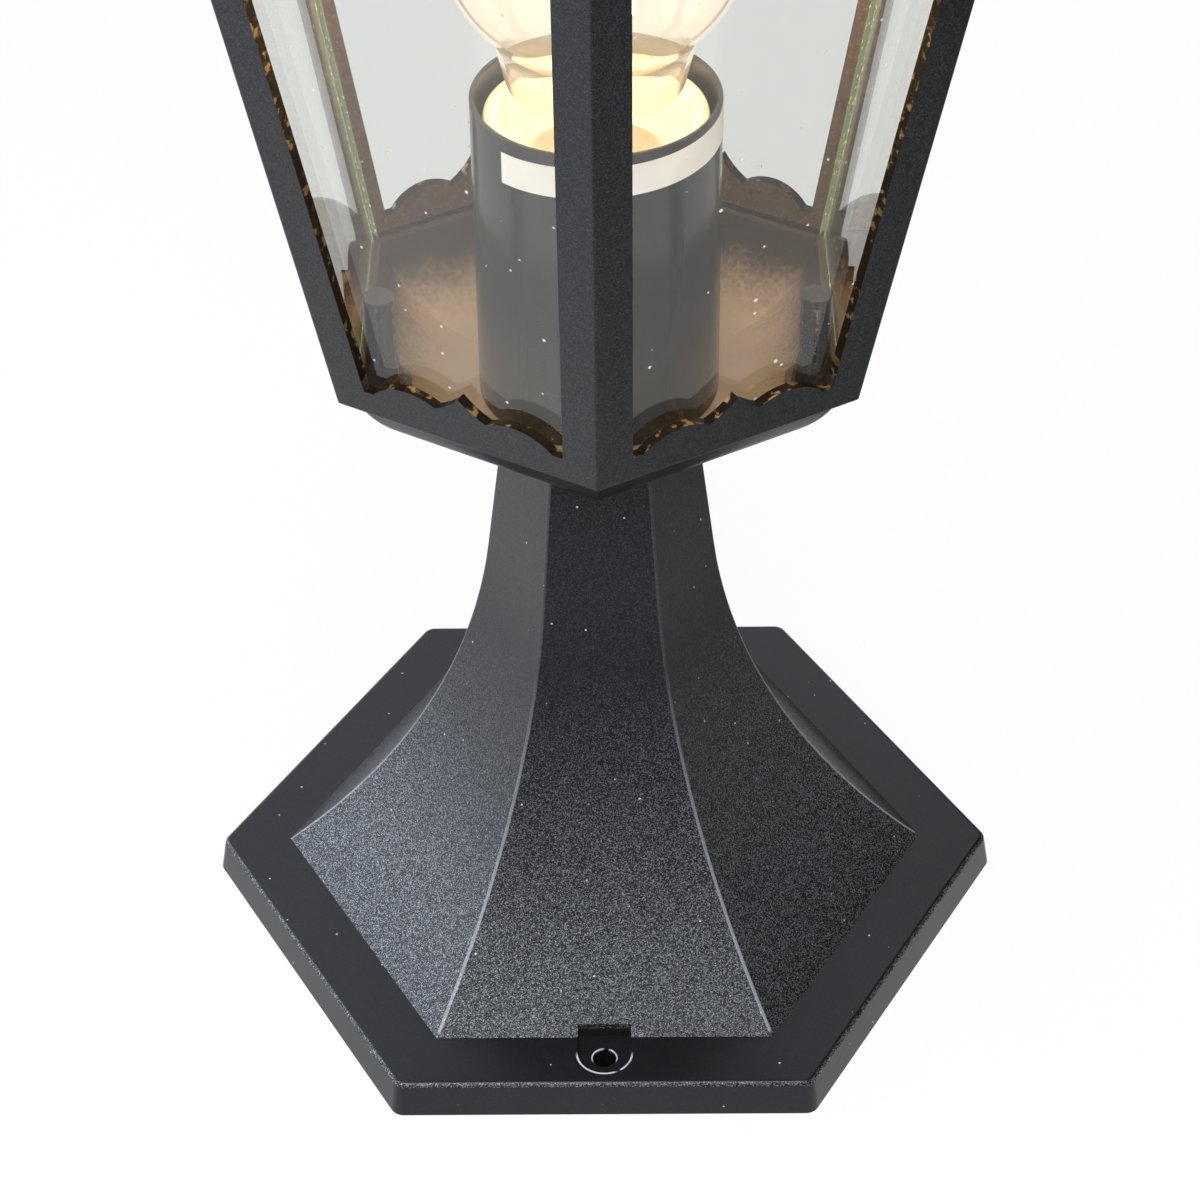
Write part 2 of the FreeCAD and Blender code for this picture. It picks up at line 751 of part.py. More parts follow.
def lamp_contacts(doc, size, level):
    """Screw shell, spring contact for the bulb's tip and the strip that feeds the shell."""
    outer = size.shell_radius
    inner = outer - size.shell_wall
    shell_height = size.holder_height - size.holder_base - size.collar_depth
    shell = turned(doc, "screw_shell", [(inner, 0), (outer, 0), (outer, shell_height), (inner, shell_height)])
    place(shell, up=level.contact)
    half, gap = size.contact_width / 2, size.hole_clearance
    low, strip_top = level.contact, level.contact + size.strip_thickness
    contact = block(doc, "centre_contact", (-half, gap, low), (half, size.contact_length, level.bulb))
    strip = block(doc, "shell_terminal", (-half, -size.strip_length, low), (half, -gap, strip_top))
    return [shell, contact, strip]


def bulb_cap(doc, size, level):
    """Thin metal cap, its insulator and its contact tip, and the cement that fills it."""
    radius, wall = size.cap_radius, size.cap_wall
    barrel = size.tip_height + size.insulator_height
    top, hole = size.cap_height, size.cap_bore
    cap = turned(doc, "bulb_cap", [
        (hole, barrel), (radius, barrel), (radius, top), (radius - wall, top),
        (radius - wall, barrel + wall), (hole, barrel + wall),
    ])
    tip_radius, tip_top = size.tip_radius, size.tip_height
    insulator = turned(doc, "cap_insulator", [
        (0, tip_top), (tip_radius, tip_top), (size.insulator_radius, barrel), (0, barrel),
    ])
    tip = rod(doc, "tip_contact", tip_radius, tip_top)
    place(cap, up=level.bulb)
    place(insulator, up=level.bulb)
    place(tip, up=level.bulb)
    fill = radius - wall - size.thread_clearance
    fill_low = level.bulb + barrel + wall
    fill_height = level.bulb + size.cap_height - size.bulb_root_depth - size.stem_flange - fill_low
    return [cap, insulator, tip, rod(doc, "basing_cement", fill, fill_height, up=fill_low)]


def bulb_outline(size, inset):
    """Half the bulb's outline from the root of its neck to its top, set in by a wall."""
    ball, centre = size.bulb_radius, size.bulb_centre_height
    neck = size.cap_radius - size.cap_wall - size.thread_clearance
    join = size.bulb_join_radius
    drop = (ball * ball - join * join).root()
    share = (ball - inset) / ball
    return [
        (neck - inset, size.cap_height - size.bulb_root_depth),
        (neck - inset, size.cap_height + size.bulb_neck_rise),
        (size.bulb_waist_radius - inset, size.bulb_waist_height), (join * share, centre - drop * share),
        (ball - inset, centre), (0, centre + ball - inset),
    ]


def bulb_glass(doc, size, level):
    """Clear envelope: neck inside the cap, waist and ball."""
    ball, shoulder, wall = size.bulb_radius, size.bulb_shoulder_radius, size.bulb_wall
    corners = bulb_outline(size, 0) + bulb_outline(size, wall)[::-1]
    arcs = {
        2: (shoulder, -1), 3: (ball, 1), 4: (ball, 1),
        6: (ball - wall, -1), 7: (ball - wall, -1), 8: (shoulder, 1),
    }
    return place(turned(doc, "bulb_glass", corners, arcs), up=level.bulb)


def bulb_stem(doc, size, level):
    """Glass stem, with the flange that closes the neck."""
    neck = size.cap_radius - size.cap_wall - size.thread_clearance
    flange, stem = size.stem_flange, size.stem_radius
    body = turned(doc, "bulb_stem", [
        (0, 0), (neck, 0), (neck, flange), (size.stem_flare_radius, flange), (stem, size.stem_flare_height),
        (stem, size.stem_height), (0, size.stem_height),
    ])
    return place(body, up=level.stem)


def bulb_filament(doc, size, level):
    """Upright glowing sticks, and the wires that hold them."""
    ring, wire = size.filament_circle, size.support_radius
    stem_top = level.stem + size.stem_height
    low = stem_top - size.stem_radius
    top = low + size.filament_length + wire * 2
    start = size.stem_radius + size.thread_clearance
    sticks, lower, upper = [], [], []
    for angle in (45, 135, 225, 315):
        turn = math.radians(angle)
        x, y = ring * math.cos(turn), ring * math.sin(turn)
        sticks.append(rod(doc, f"stick{angle}", size.filament_radius, size.filament_length, x, y, low + wire))
        lower.append(spoke(doc, f"lower_wire{angle}", wire, start, ring - start, low, angle))
        upper.append(spoke(doc, f"upper_wire{angle}", wire, dim(0), ring, top, angle))
    post = rod(doc, "support_post", size.support_post_radius, top - stem_top, up=stem_top)
    star = fuse(doc, "support_star", post, *upper)
    return [group(doc, "filament_sticks", sticks), group(doc, "support_wires", [star] + lower)]


def centre_fixings(doc, size, level):
    """Threaded tube through the lamp's middle, with its nuts and washers."""
    tab = level.cap - size.bracket_thickness
    nipple_low = tab - size.washer_thickness - size.nut_height - size.nipple_spare
    nipple_high = level.contact - size.hole_clearance
    length = nipple_high - nipple_low
    tube = rod(doc, "nipple_rod", size.nipple_radius, length, up=nipple_low)
    inside = rod(doc, "nipple_hole", size.nipple_bore, length, up=nipple_low)
    tap = size.nipple_radius + size.thread_clearance
    loose = size.nipple_radius + size.hole_clearance
    thin, tall = size.washer_thickness, size.nut_height
    finial_tap = size.stud_radius + size.thread_clearance
    finial_low = level.crown - size.roof_wall - size.finial_nut_height
    return [
        cut(doc, "threaded_nipple", tube, inside),
        washer(doc, "lower_washer", size.washer_radius, thin, loose, tab - thin),
        nut(doc, "lower_nut", size.nut_flats, tall, tap, tab - thin - tall),
        washer(doc, "upper_washer", size.washer_radius, thin, loose, level.tube_floor),
        nut(doc, "upper_nut", size.nut_flats, tall, tap, level.tube_floor + thin),
        nut(doc, "finial_nut", size.finial_nut_flats, size.finial_nut_height, finial_tap, finial_low),
    ]


def terminal_bracket(doc, size, level):
    """Folded bracket that hangs under the neck's cap."""
    sheet, back = size.bracket_thickness, -size.bracket_offset
    face, top = back + sheet, level.cap
    low = top - size.bracket_length
    reach = size.bracket_reach
    section = [(back, low), (face, low), (face, top - sheet), (reach, top - sheet), (reach, top), (back, top)]
    fold = padded(doc, "bracket_fold", "XZ_Plane", section, size.bracket_width, symmetric=True)
    loose = size.small_screw_radius + size.thread_clearance
    return cut(
        doc, "terminal_bracket", fold,
        rod(doc, "bracket_hole", size.nipple_radius + size.hole_clearance, sheet, up=top - sheet),
        bore(doc, "bracket_hold_hole", loose, back, sheet, level.hold),
        bore(doc, "bracket_earth_hole", loose, back, sheet, level.earth),
    )


def terminal_block(doc, size, level):
    """Insulating block on the bracket, drilled for its screws."""
    face, half = size.bracket_thickness - size.bracket_offset, size.block_width / 2
    front = face + size.block_depth
    top = level.block + size.block_height
    body = block(doc, "block_body", (face, -half, level.block), (front, half, top))
    loose = size.small_screw_radius + size.thread_clearance
    depth = size.small_screw_length
    return cut(
        doc, "terminal_block", body, bore(doc, "block_hole", loose, face, depth, level.hold),
        bore(doc, "clamp_hole_right", loose, front - depth / 2, depth / 2, level.hold, half / 2),
        bore(doc, "clamp_hole_left", loose, front - depth / 2, depth / 2, level.hold, -half / 2),
    )


def terminal_screws(doc, size, level):
    """The screw that holds the block, the earth screw and the two clamp screws."""
    shank, head, dome = size.small_screw_radius, size.small_head_radius, size.small_head_height
    back = -size.bracket_offset
    face = back + size.bracket_thickness
    holder = screw(doc, "block_screw", shank, size.small_screw_length, head, dome)
    place(holder, back, 0, level.hold, outward(180))
    earth = screw(doc, "earth_screw", shank, size.earth_screw_length, head, dome)
    place(earth, face, 0, level.earth, outward(0))
    clamps = []
    for side in (-1, 1):
        clamp = screw(doc, f"clamp_screw{side + 1}", shank, size.small_screw_length / 2, head, dome)
        aside = size.block_width * (side / 4)
        clamps.append(place(clamp, face + size.block_depth, aside, level.hold, outward(0)))
    return [holder, earth, group(doc, "clamp_screws", clamps)]


def leads(doc, size, level):
    """The two insulated leads from the block up to the lampholder's contacts."""
    start = level.block + size.block_height
    return [
        rod(doc, name, size.lead_radius, level.contact - start, 0, size.lead_offset * side, start)
        for name, side in (("lead_live", 1), ("lead_neutral", -1))
    ]


def build(doc):
    """Makes every sub-part and returns them."""
    size = Sheet(doc)
    level = Levels(size)
    parts = [
        pedestal_base(doc, size, level), lantern_frame(doc, size, level), roof(doc, size, level),
        roof_screws(doc, size, level), finial(doc, size, level),
        socket_tube(doc, size, level), lampholder(doc, size, level), bulb_glass(doc, size, level),
    ]
    parts += [glass_pane(doc, size, level, index) for index in range(HEX_SIDES)]
    parts += lamp_contacts(doc, size, level)
    parts += bulb_cap(doc, size, level)
    parts += [bulb_stem(doc, size, level)] + bulb_filament(doc, size, level)
    parts += centre_fixings(doc, size, level)
    parts += [terminal_bracket(doc, size, level), terminal_block(doc, size, level)]
    parts += terminal_screws(doc, size, level) + leads(doc, size, level)
    doc.recompute()
    return parts


def check(doc, parts):
    """Stops if any object failed, or any sub-part has no sound solid."""
    for item in doc.Objects:
        if "Invalid" in item.State or "Error" in item.State:
            raise RuntimeError(f"{item.Label} failed: {item.State}")
    for part in parts:
        shape = part.Shape
        if shape.isNull() or not shape.isValid() or not shape.Solids:
            raise RuntimeError(f"{part.Label} has no sound solid")


def export(parts):
    os.makedirs("parts", exist_ok=True)
    for part in parts:
        solids = part.Shape.Solids
        shape = solids[0] if len(solids) == 1 else Part.makeCompound(solids)
        shape.exportStep(f"parts/{part.Label}.step")
        print(part.Label, len(solids), round(shape.Volume, 1))


def main():
    doc = FreeCAD.newDocument("pedestal_lamp")
    parts = build(doc)
    check(doc, parts)
    export(parts)


main()
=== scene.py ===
import logging
import math
from dataclasses import dataclass
from enum import Enum
from typing import Any, Optional, Sequence, Union

import bmesh
import bpy
from mathutils import Matrix, Vector


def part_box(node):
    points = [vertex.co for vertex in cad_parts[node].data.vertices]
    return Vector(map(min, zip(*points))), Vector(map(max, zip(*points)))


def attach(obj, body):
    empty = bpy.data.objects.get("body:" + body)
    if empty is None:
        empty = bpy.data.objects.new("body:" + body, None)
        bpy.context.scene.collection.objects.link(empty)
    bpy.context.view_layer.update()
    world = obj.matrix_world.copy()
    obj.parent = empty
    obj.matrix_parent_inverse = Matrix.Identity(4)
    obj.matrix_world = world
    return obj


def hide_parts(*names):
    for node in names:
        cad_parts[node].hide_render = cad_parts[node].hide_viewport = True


# Hexagonal outdoor pedestal lamp, lit. Metres in Blender; sizes in the classes are millimetres.
# +Z is up, -Y is towards the viewer, and the origin is on the ground at the middle of the base.
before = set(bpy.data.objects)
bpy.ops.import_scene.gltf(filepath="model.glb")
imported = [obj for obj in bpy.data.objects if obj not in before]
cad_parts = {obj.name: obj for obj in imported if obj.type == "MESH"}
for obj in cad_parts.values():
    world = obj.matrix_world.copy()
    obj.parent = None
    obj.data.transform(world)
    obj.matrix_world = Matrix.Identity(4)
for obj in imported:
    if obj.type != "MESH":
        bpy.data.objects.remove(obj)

MM = 0.001
SIDES = 6
HALF_SIDE = math.radians(30)
# A limit that no share or direction reaches, and one in millimetres that nothing on the lamp reaches
FREE = 2.0
TALL = 1000.0
WELD = 1e-6
WHITE = "#ffffff"
BODY = "root"
LOG = logging.getLogger("lamp")

Tree = bpy.types.NodeTree
Socket = bpy.types.NodeSocket
Piece = bpy.types.Object
Mesh = bpy.types.Mesh
Point = tuple[float, float]
Place = tuple[float, float, float]
Setting = Union[float, int, bool, str, tuple, Socket, bpy.types.Material]
Mark = tuple[Socket, Setting]


class CoatZone(Enum):
    """Where a powder coat is, which decides the marks on it."""

    PEDESTAL = "pedestal"
    LANTERN = "lantern"
    ROOF = "roof"


class PaneSlot(Enum):
    """The material slots of a pane."""

    FACE = 0
    EDGE = 1


def linear(colour: str) -> tuple[float, float, float, float]:
    """Turns an sRGB hex value into linear red, green, blue and alpha.

    Args:
        colour: The hex value, such as "#1b1c1f".

    Returns:
        The linear colour, with alpha 1.
    """
    shares = (int(colour[at:at + 2], 16) / 255 for at in (1, 3, 5))
    red, green, blue = (s / 12.92 if s <= 0.04045 else ((s + 0.055) / 1.055) ** 2.4 for s in shares)
    return red, green, blue, 1.0


def add_node(tree: Tree, kind: str, inputs: Optional[dict[Any, Setting]] = None, **settings: Any) -> Any:
    """Adds a node with its settings, its values and its links.

    Args:
        tree: The tree that gets the node.
        kind: Blender's name for the node.
        inputs: For each input, by name or number, a value or the socket that feeds it.
        settings: The node's own properties.

    Returns:
        The node's outputs, by name or number.
    """
    node = tree.nodes.new(kind)
    for name, value in settings.items():
        setattr(node, name, value)
    for key, value in (inputs or {}).items():
        if isinstance(value, Socket):
            tree.links.new(value, node.inputs[key])
        else:
            node.inputs[key].default_value = value
    return node.outputs


def joined(tree: Tree, operation: str, first: Setting, *others: Setting) -> Setting:
    """Joins masks or numbers by one operation, from left to right.

    Args:
        tree: The tree that gets the nodes.
        operation: Blender's name for the operation.
        first: The first of them.
        others: The rest of them.

    Returns:
        The socket of the result.
    """
    for other in others:
        first = add_node(tree, "ShaderNodeMath", {0: first, 1: other}, operation=operation)["Value"]
    return first


def between(tree: Tree, value: Socket, low: float, high: float, soft: float) -> Setting:
    """A mask that is 1 where a value lies between two limits, and fades outside them.

    Args:
        tree: The material's tree.
        value: The socket of the value.
        low: The lower limit.
        high: The upper limit.
        soft: The width of each fade.

    Returns:
        The socket of the mask.
    """
    fades = [
        add_node(
            tree, "ShaderNodeMapRange", {"Value": value, "From Min": start, "From Max": end},
            interpolation_type="SMOOTHSTEP",
        )["Result"]
        for start, end in ((low - soft, low), (high + soft, high))
    ]
    return joined(tree, "MULTIPLY", *fades)


def between_mm(tree: Tree, value: Socket, low: float, high: float, soft: float) -> Setting:
    """The same mask for a value in metres, with its limits in millimetres."""
    return between(tree, value, low * MM, high * MM, soft * MM)


def per_metre(size: float) -> float:
    """The scale of a pattern whose real size is given in millimetres."""
    return 1 / (size * MM)


def from_axis(tree: Tree, spot: Socket) -> tuple[Socket, Socket]:
    """The level part of a place, and its length.

    Args:
        tree: The material's tree.
        spot: The socket of the place.

    Returns:
        The socket of the level part, and that of its distance from the axis.
    """
    level = add_node(tree, "ShaderNodeVectorMath", {0: spot, 1: (1.0, 1.0, 0.0)}, operation="MULTIPLY")["Vector"]
    return level, add_node(tree, "ShaderNodeVectorMath", {0: level}, operation="LENGTH")["Value"]


def background_rays(tree: Tree) -> Setting:
    """A mask of the rays that see the background: the camera's, and those through glass and off a gloss."""
    path = add_node(tree, "ShaderNodeLightPath")
    return joined(tree, "MAXIMUM", *(path[f"Is {ray} Ray"] for ray in ("Camera", "Transmission", "Glossy")))


@dataclass(frozen=True)
class Finish:
    """A finish that makes its own material once."""

    def title(self) -> str:
        """The material's name."""
        raise NotImplementedError

    def paint(self, tree: Tree) -> Socket:
        """Adds the finish's nodes.

        Args:
            tree: The material's empty tree.

        Returns:
            The socket of the finished shader.
        """
        raise NotImplementedError

    def material(self) -> bpy.types.Material:
        """Makes the material, or gives the one that was made before.

        Returns:
            The material.
        """
        found = bpy.data.materials.get(self.title())
        if found:
            return found
        made = bpy.data.materials.new(self.title())
        made.use_nodes = True
        made.node_tree.nodes.clear()
        shader = self.paint(made.node_tree)
        add_node(made.node_tree, "ShaderNodeOutputMaterial", {"Surface": shader})
        return made


@dataclass(frozen=True)
class LabelledFinish(Finish):
    """A finish whose name is one of its values."""

    label: str

    def title(self) -> str:
        """The material's name."""
        return self.label


@dataclass(frozen=True)
class PowderCoat(Finish):
    """Black polyester powder coat with aluminium flakes on a casting, sprayed and baked.

    The eye sees a satin black with a fine orange peel, and grains that glint near the foot of the casting;
    they are drawn thickest there, a painted highlight where the light catches them.
    """

    zone: CoatZone
    colour: str = "#101113"
    flake_colour: str = "#a8adb3"
    # Bare metal at chips, and painted glints, both tinted gold as painted warm light of the bulb
    bare_metal_and_glint_colour: str = "#8d774f"
    # The windows' edges are drawn near black-brown
    dark_edge_colour: str = "#120e0a"
    # Painted warm glow of the bulb's light on the cage's inside
    painted_glow_colour: str = "#5a4630"
    dust_colour: str = "#b5a18b"
    # Painted highlights on the ridges and the bolt holes' rims, and grains of dust
    highlight_and_dust_colour: str = "#c4c9cf"
    gleam_colour: str = "#eef3ff"
    # Painted shade high on the bowl's walls, and patches of grime
    shade_and_grime_colour: str = "#372e26"
    flake_mm: float = 0.17
    flake_share: float = 0.42
    flake_metal: float = 0.8
    flake_tilt: float = 0.36
    flake_rest: float = 0.12
    flake_fall_mm: Point = (22.0, 76.0)
    plate_grain: float = 0.03
    flare_mm: float = 9.0
    flare_fade_mm: float = 0.6
    bolt_mm: float = 65.5
    hole_mm: Point = (2.4, 2.7)
    hole_level_mm: Point = (6.2, 6.6)
    rim_mm: Point = (5.55, 5.9)
    rim_level_mm: Point = (7.6, 8.2)
    # Width and strength of the painted highlight on the ridges
    ridge_highlight_mm: float = 0.25
    ridge_highlight_strength: float = 0.45
    rail_mm: Point = (153.6, 161.0)
    post_mm: float = 157.0
    cage_mm: float = 47.5
    window_mm: float = 151.5
    # Share of that painted glow
    painted_glow_share: float = 0.75
    bowl_mm: Point = (133.5, 164.0)
    ledge_mm: Point = (150.8, 152.4)
    ledge_dust: Point = (0.9, 0.12)
    # Heights over which the bowl turns from dust to the painted shade, and the dust's share at each end
    dust_to_shade_mm: Point = (135.5, 147.0)
    dust_to_shade: Point = (0.85, -0.08)
    dust_shade: Point = (1.4, 3.0)
    dust_fade: float = 0.95
    grit_gap_mm: float = 5.0
    grit_size: float = 0.035
    peel_mm: float = 0.8
    peel_depth_mm: float = 0.03
    peel_strength: float = 0.5
    cloud_mm: float = 22.0
    patch_mm: float = 2.2
    grime_mm: float = 9.0
    grit_mm: float = 1.0
    roughness: float = 0.32
    roughness_change: float = 0.05
    specular: float = 0.4
    dull: float = 0.06

    def title(self) -> str:
        """The material's name."""
        return f"powder_coat_{self.zone.value}"

    def edges(self, tree: Tree, spot: Socket, height: Socket, facing: Socket, upward: Socket) -> Setting:
        """A mask of the windows' edges: the tops of the lower rails, and the sides of the posts.

        Args:
            tree: The material's tree.
            spot: The place on the casting.
            height: The height above the ground, in metres.
            facing: The direction that the surface faces.
            upward: How far it faces up.

        Returns:
            The socket of the mask.
        """
        rails = between_mm(tree, height, *self.rail_mm, 0.4)
        rails = joined(tree, "MULTIPLY", between(tree, upward, 0.5, FREE, 0.2), rails)
        level, reach = from_axis(tree, spot)
        out = add_node(tree, "ShaderNodeVectorMath", {0: level}, operation="NORMALIZE")["Vector"]
        along = add_node(
            tree, "ShaderNodeVectorMath", {0: out, 1: (0.0, 0.0, 1.0)}, operation="CROSS_PRODUCT"
        )["Vector"]
        aside = add_node(tree, "ShaderNodeVectorMath", {0: along, 1: facing}, operation="DOT_PRODUCT")["Value"]
        aside = add_node(tree, "ShaderNodeMath", {0: aside}, operation="ABSOLUTE")["Value"]
        side = between(tree, aside, 0.8, FREE, 0.06)
        posts = between_mm(tree, height, self.post_mm, TALL, 1.0)
        clear = between_mm(tree, reach, self.cage_mm, TALL, 0.5)
        return joined(tree, "MAXIMUM", rails, joined(tree, "MULTIPLY", side, posts, clear))

    def inside(self, tree: Tree, spot: Socket, height: Socket, facing: Socket) -> Setting:
        """A mask of the cage's surfaces that face the bulb.

        Args:
            tree: The material's tree.
            spot: The place on the casting.
            height: The height above the ground, in metres.
            facing: The direction that the surface faces.

        Returns:
            The socket of the mask.
        """
        level = from_axis(tree, spot)[0]
        out = add_node(tree, "ShaderNodeVectorMath", {0: level}, operation="NORMALIZE")["Vector"]
        turned = add_node(tree, "ShaderNodeVectorMath", {0: out, 1: facing}, operation="DOT_PRODUCT")["Value"]
        window = between_mm(tree, height, self.window_mm, TALL, 0.5)
        return joined(tree, "MULTIPLY", between(tree, turned, -FREE, -0.5, 0.1), window)

    def dust(self, tree: Tree, spot: Socket, height: Socket, upward: Socket, grit: Socket) -> Mark:
        """The dust in the bowl, thin on the ledge, with a painted shade that darkens the walls towards the top.

        Args:
            tree: The material's tree.
            spot: The place on the casting.
            height: The height above the ground, in metres.
            upward: How far the surface faces up.
            grit: A fine noise that breaks the dust up.

        Returns:
            The dust's mask, and its colour with the painted shade.
        """
        settled, dust_versus_shade = (
            add_node(tree, "ShaderNodeMapRange", {
                "Value": height, "From Min": low * MM, "From Max": high * MM, "To Min": most, "To Max": least,
            })["Result"]
            for (low, high), (most, least) in ((self.ledge_mm, self.ledge_dust), (self.dust_to_shade_mm, self.dust_to_shade))
        )
        bowl = between_mm(tree, height, *self.bowl_mm, 1.0)
        mask = joined(tree, "MULTIPLY", between(tree, upward, 0.12, FREE, 0.1), bowl, settled)
        grime = add_node(
            tree, "ShaderNodeTexNoise",
            {"Vector": spot, "Scale": per_metre(self.grime_mm), "Detail": 8.0, "Roughness": 0.68},
        )["Fac"]
        grime = add_node(tree, "ShaderNodeMix", {0: 0.5, 2: grime, 3: grit}, data_type="FLOAT")[0]
        # Higher up the walls the tone turns to the painted shade, broken by patches of grime
        mixed = between(tree, joined(tree, "ADD", grime, dust_versus_shade), *self.dust_shade, self.dust_fade)
        tone = add_node(
            tree, "ShaderNodeMix", {0: mixed, 6: linear(self.shade_and_grime_colour), 7: linear(self.dust_colour)},
            data_type="RGBA",
        )[2]
        return mask, tone

    def wear(self, tree: Tree, spot: Socket, height: Socket) -> tuple[Mark, ...]:
        """The marks on the lantern: dark and chipped edges of the windows, painted glints, and a painted warm glow
        of the bulb's light on the surfaces that face it.

        Args:
            tree: The material's tree.
            spot: The place on the casting.
            height: The height above the ground, in metres.

        Returns:
            The mask and the colour of the dust with its painted shade, of the painted glow on the inside, of the
            dark edges, and of the bare metal and painted glints on them.
        """
        facing = add_node(tree, "ShaderNodeNewGeometry")["True Normal"]
        upward = add_node(tree, "ShaderNodeSeparateXYZ", {"Vector": facing})["Z"]
        patch, grit = (
            add_node(tree, "ShaderNodeTexNoise", {"Vector": spot, "Scale": per_metre(size), "Detail": detail})["Fac"]
            for size, detail in ((self.patch_mm, 4.0), (self.grit_mm, 2.0))
        )
        edge = self.edges(tree, spot, height, facing, upward)
        inner = self.inside(tree, spot, height, facing)
        # Chips along the window edges show bare metal; the grit on the surfaces that face the bulb is a painted glint
        # of its light
        rubbed = joined(tree, "MULTIPLY", edge, between(tree, patch, 0.66, FREE, 0.1))
        glint = joined(tree, "MULTIPLY", between(tree, grit, 0.62, FREE, 0.06), inner)
        return (
            self.dust(tree, spot, height, upward, grit),
            # Painted warm glow of the bulb's light on the surfaces that face it
            (joined(tree, "MULTIPLY", inner, self.painted_glow_share), linear(self.painted_glow_colour)),
            # The windows' edges, drawn near black-brown
            (edge, linear(self.dark_edge_colour)),
            # Both are drawn gold, a painted warm reflection of the bulb
            (joined(tree, "MAXIMUM", rubbed, glint), linear(self.bare_metal_and_glint_colour)),
        )

    def lip_highlights_and_dust(self, tree: Tree, spot: Socket, height: Socket) -> Setting:
        """Painted highlights on the rims of the bolt holes and of their recesses, and single grains of dust.

        Args:
            tree: The material's tree.
            spot: The place on the casting.
            height: The height above the ground, in metres.

        Returns:
            The socket of the mask.
        """
        folded = add_node(tree, "ShaderNodeVectorMath", {0: spot}, operation="ABSOLUTE")["Vector"]
        moved = add_node(
            tree, "ShaderNodeVectorMath", {0: folded, 1: (0.0, self.bolt_mm * MM, 0.0)}, operation="SUBTRACT"
        )["Vector"]
        level, away = from_axis(tree, moved)
        outward = add_node(tree, "ShaderNodeSeparateXYZ", {"Vector": level})["Y"]
        # A painted highlight on the inner half of the hole's rim
        hole = joined(
            tree, "MULTIPLY", between_mm(tree, away, *self.hole_mm, 0.1),
            between_mm(tree, height, *self.hole_level_mm, 0.2), between_mm(tree, outward, -TALL, 0.0, 1.5),
        )
        # A painted highlight along the outer rim of the recess
        rim = joined(
            tree, "MULTIPLY", between_mm(tree, away, *self.rim_mm, 0.15),
            between_mm(tree, height, *self.rim_level_mm, 0.2), between_mm(tree, outward, 1.5, TALL, 2.0),
        )
        patch = add_node(tree, "ShaderNodeTexNoise", {"Vector": spot, "Scale": per_metre(self.patch_mm)})["Fac"]
        thin = between(tree, patch, 0.5, FREE, 0.2)
        both = joined(tree, "MULTIPLY", joined(tree, "MAXIMUM", hole, rim), thin)
        grit = add_node(tree, "ShaderNodeTexVoronoi", {"Vector": spot, "Scale": per_metre(self.grit_gap_mm)})
        return joined(tree, "MAXIMUM", both, between(tree, grit["Distance"], -1.0, self.grit_size, 0.02))

    def ridges(self, tree: Tree, spot: Socket, grain: Socket) -> Setting:
        """Painted highlight lines along the six ridges of the flare.

        Args:
            tree: The material's tree.
            spot: The place on the casting.
            grain: How rough the coat is, which falls off towards the neck.

        Returns:
            The socket of the mask.
        """
        parts = add_node(tree, "ShaderNodeSeparateXYZ", {"Vector": spot})
        flare = between_mm(tree, parts["Z"], self.flare_mm, TALL, self.flare_fade_mm)
        angle = joined(tree, "ARCTAN2", parts["Y"], parts["X"])
        # The ridges stand every 60 degrees, so the fold gives the angle to the nearest one
        angle = joined(tree, "PINGPONG", angle, math.pi / SIDES)
        away = joined(tree, "MULTIPLY", angle, from_axis(tree, spot)[1])
        line = between_mm(tree, away, -TALL, self.ridge_highlight_mm, 0.2)
        return joined(tree, "MULTIPLY", line, flare, grain, self.ridge_highlight_strength)

    def grains(self, tree: Tree, height: Socket, upward: Socket) -> Setting:
        """How rough the grains make the coat: most at the flare's foot and on the plate's rounded edge, as a painted
        highlight where the light catches them, and least towards the neck.

        Args:
            tree: The material's tree.
            height: The height above the ground, in metres.
            upward: How far the surface faces up.

        Returns:
            The socket of the share, from 0 to 1.
        """
        pedestal = self.zone is CoatZone.PEDESTAL
        low, high = self.flake_fall_mm
        reach = add_node(tree, "ShaderNodeMapRange", {
            "Value": height, "From Min": low * MM, "From Max": high * MM,
            "To Min": 1.0 if pedestal else self.flake_rest, "To Max": self.flake_rest,
        })["Result"]
        if not pedestal:
            return reach
        flare = between_mm(tree, height, self.flare_mm, TALL, self.flare_fade_mm)
        rough = joined(tree, "MAXIMUM", flare, between(tree, upward, 0.35, 0.85, 0.1))
        rough = add_node(
            tree, "ShaderNodeMapRange", {"Value": rough, "To Min": self.plate_grain, "To Max": 1.0}
        )["Result"]
        return joined(tree, "MULTIPLY", reach, rough)

    def tilted(self, tree: Tree, normal: Socket, cells: Any, grain: Socket) -> Socket:
        """The surface's direction with each grain's own tilt.

        Args:
            tree: The material's tree.
            normal: The direction that the surface faces.
            cells: The outputs of the grains' pattern.
            grain: How rough the coat is.

        Returns:
            The socket of the direction.
        """
        lean = add_node(
            tree, "ShaderNodeVectorMath", {0: cells["Color"], 1: (0.5, 0.5, 0.5)}, operation="SUBTRACT"
        )["Vector"]
        tilt = joined(tree, "MULTIPLY", grain, self.flake_tilt)
        lean = add_node(tree, "ShaderNodeVectorMath", {0: lean, "Scale": tilt}, operation="SCALE")["Vector"]
        leaning = add_node(tree, "ShaderNodeVectorMath", {0: normal, 1: lean}, operation="ADD")["Vector"]
        return add_node(tree, "ShaderNodeVectorMath", {0: leaning}, operation="NORMALIZE")["Vector"]

    def paint(self, tree: Tree) -> Socket:
        """Adds the coat: grains with a tilt of their own, orange peel, and the zone's marks.

        Args:
            tree: The material's empty tree.

        Returns:
            The socket of the finished shader.
        """
        spot = add_node(tree, "ShaderNodeTexCoord")["Object"]
        height = add_node(tree, "ShaderNodeSeparateXYZ", {"Vector": spot})["Z"]
        normal = add_node(tree, "ShaderNodeNewGeometry")["Normal"]
        upward = add_node(tree, "ShaderNodeSeparateXYZ", {"Vector": normal})["Z"]
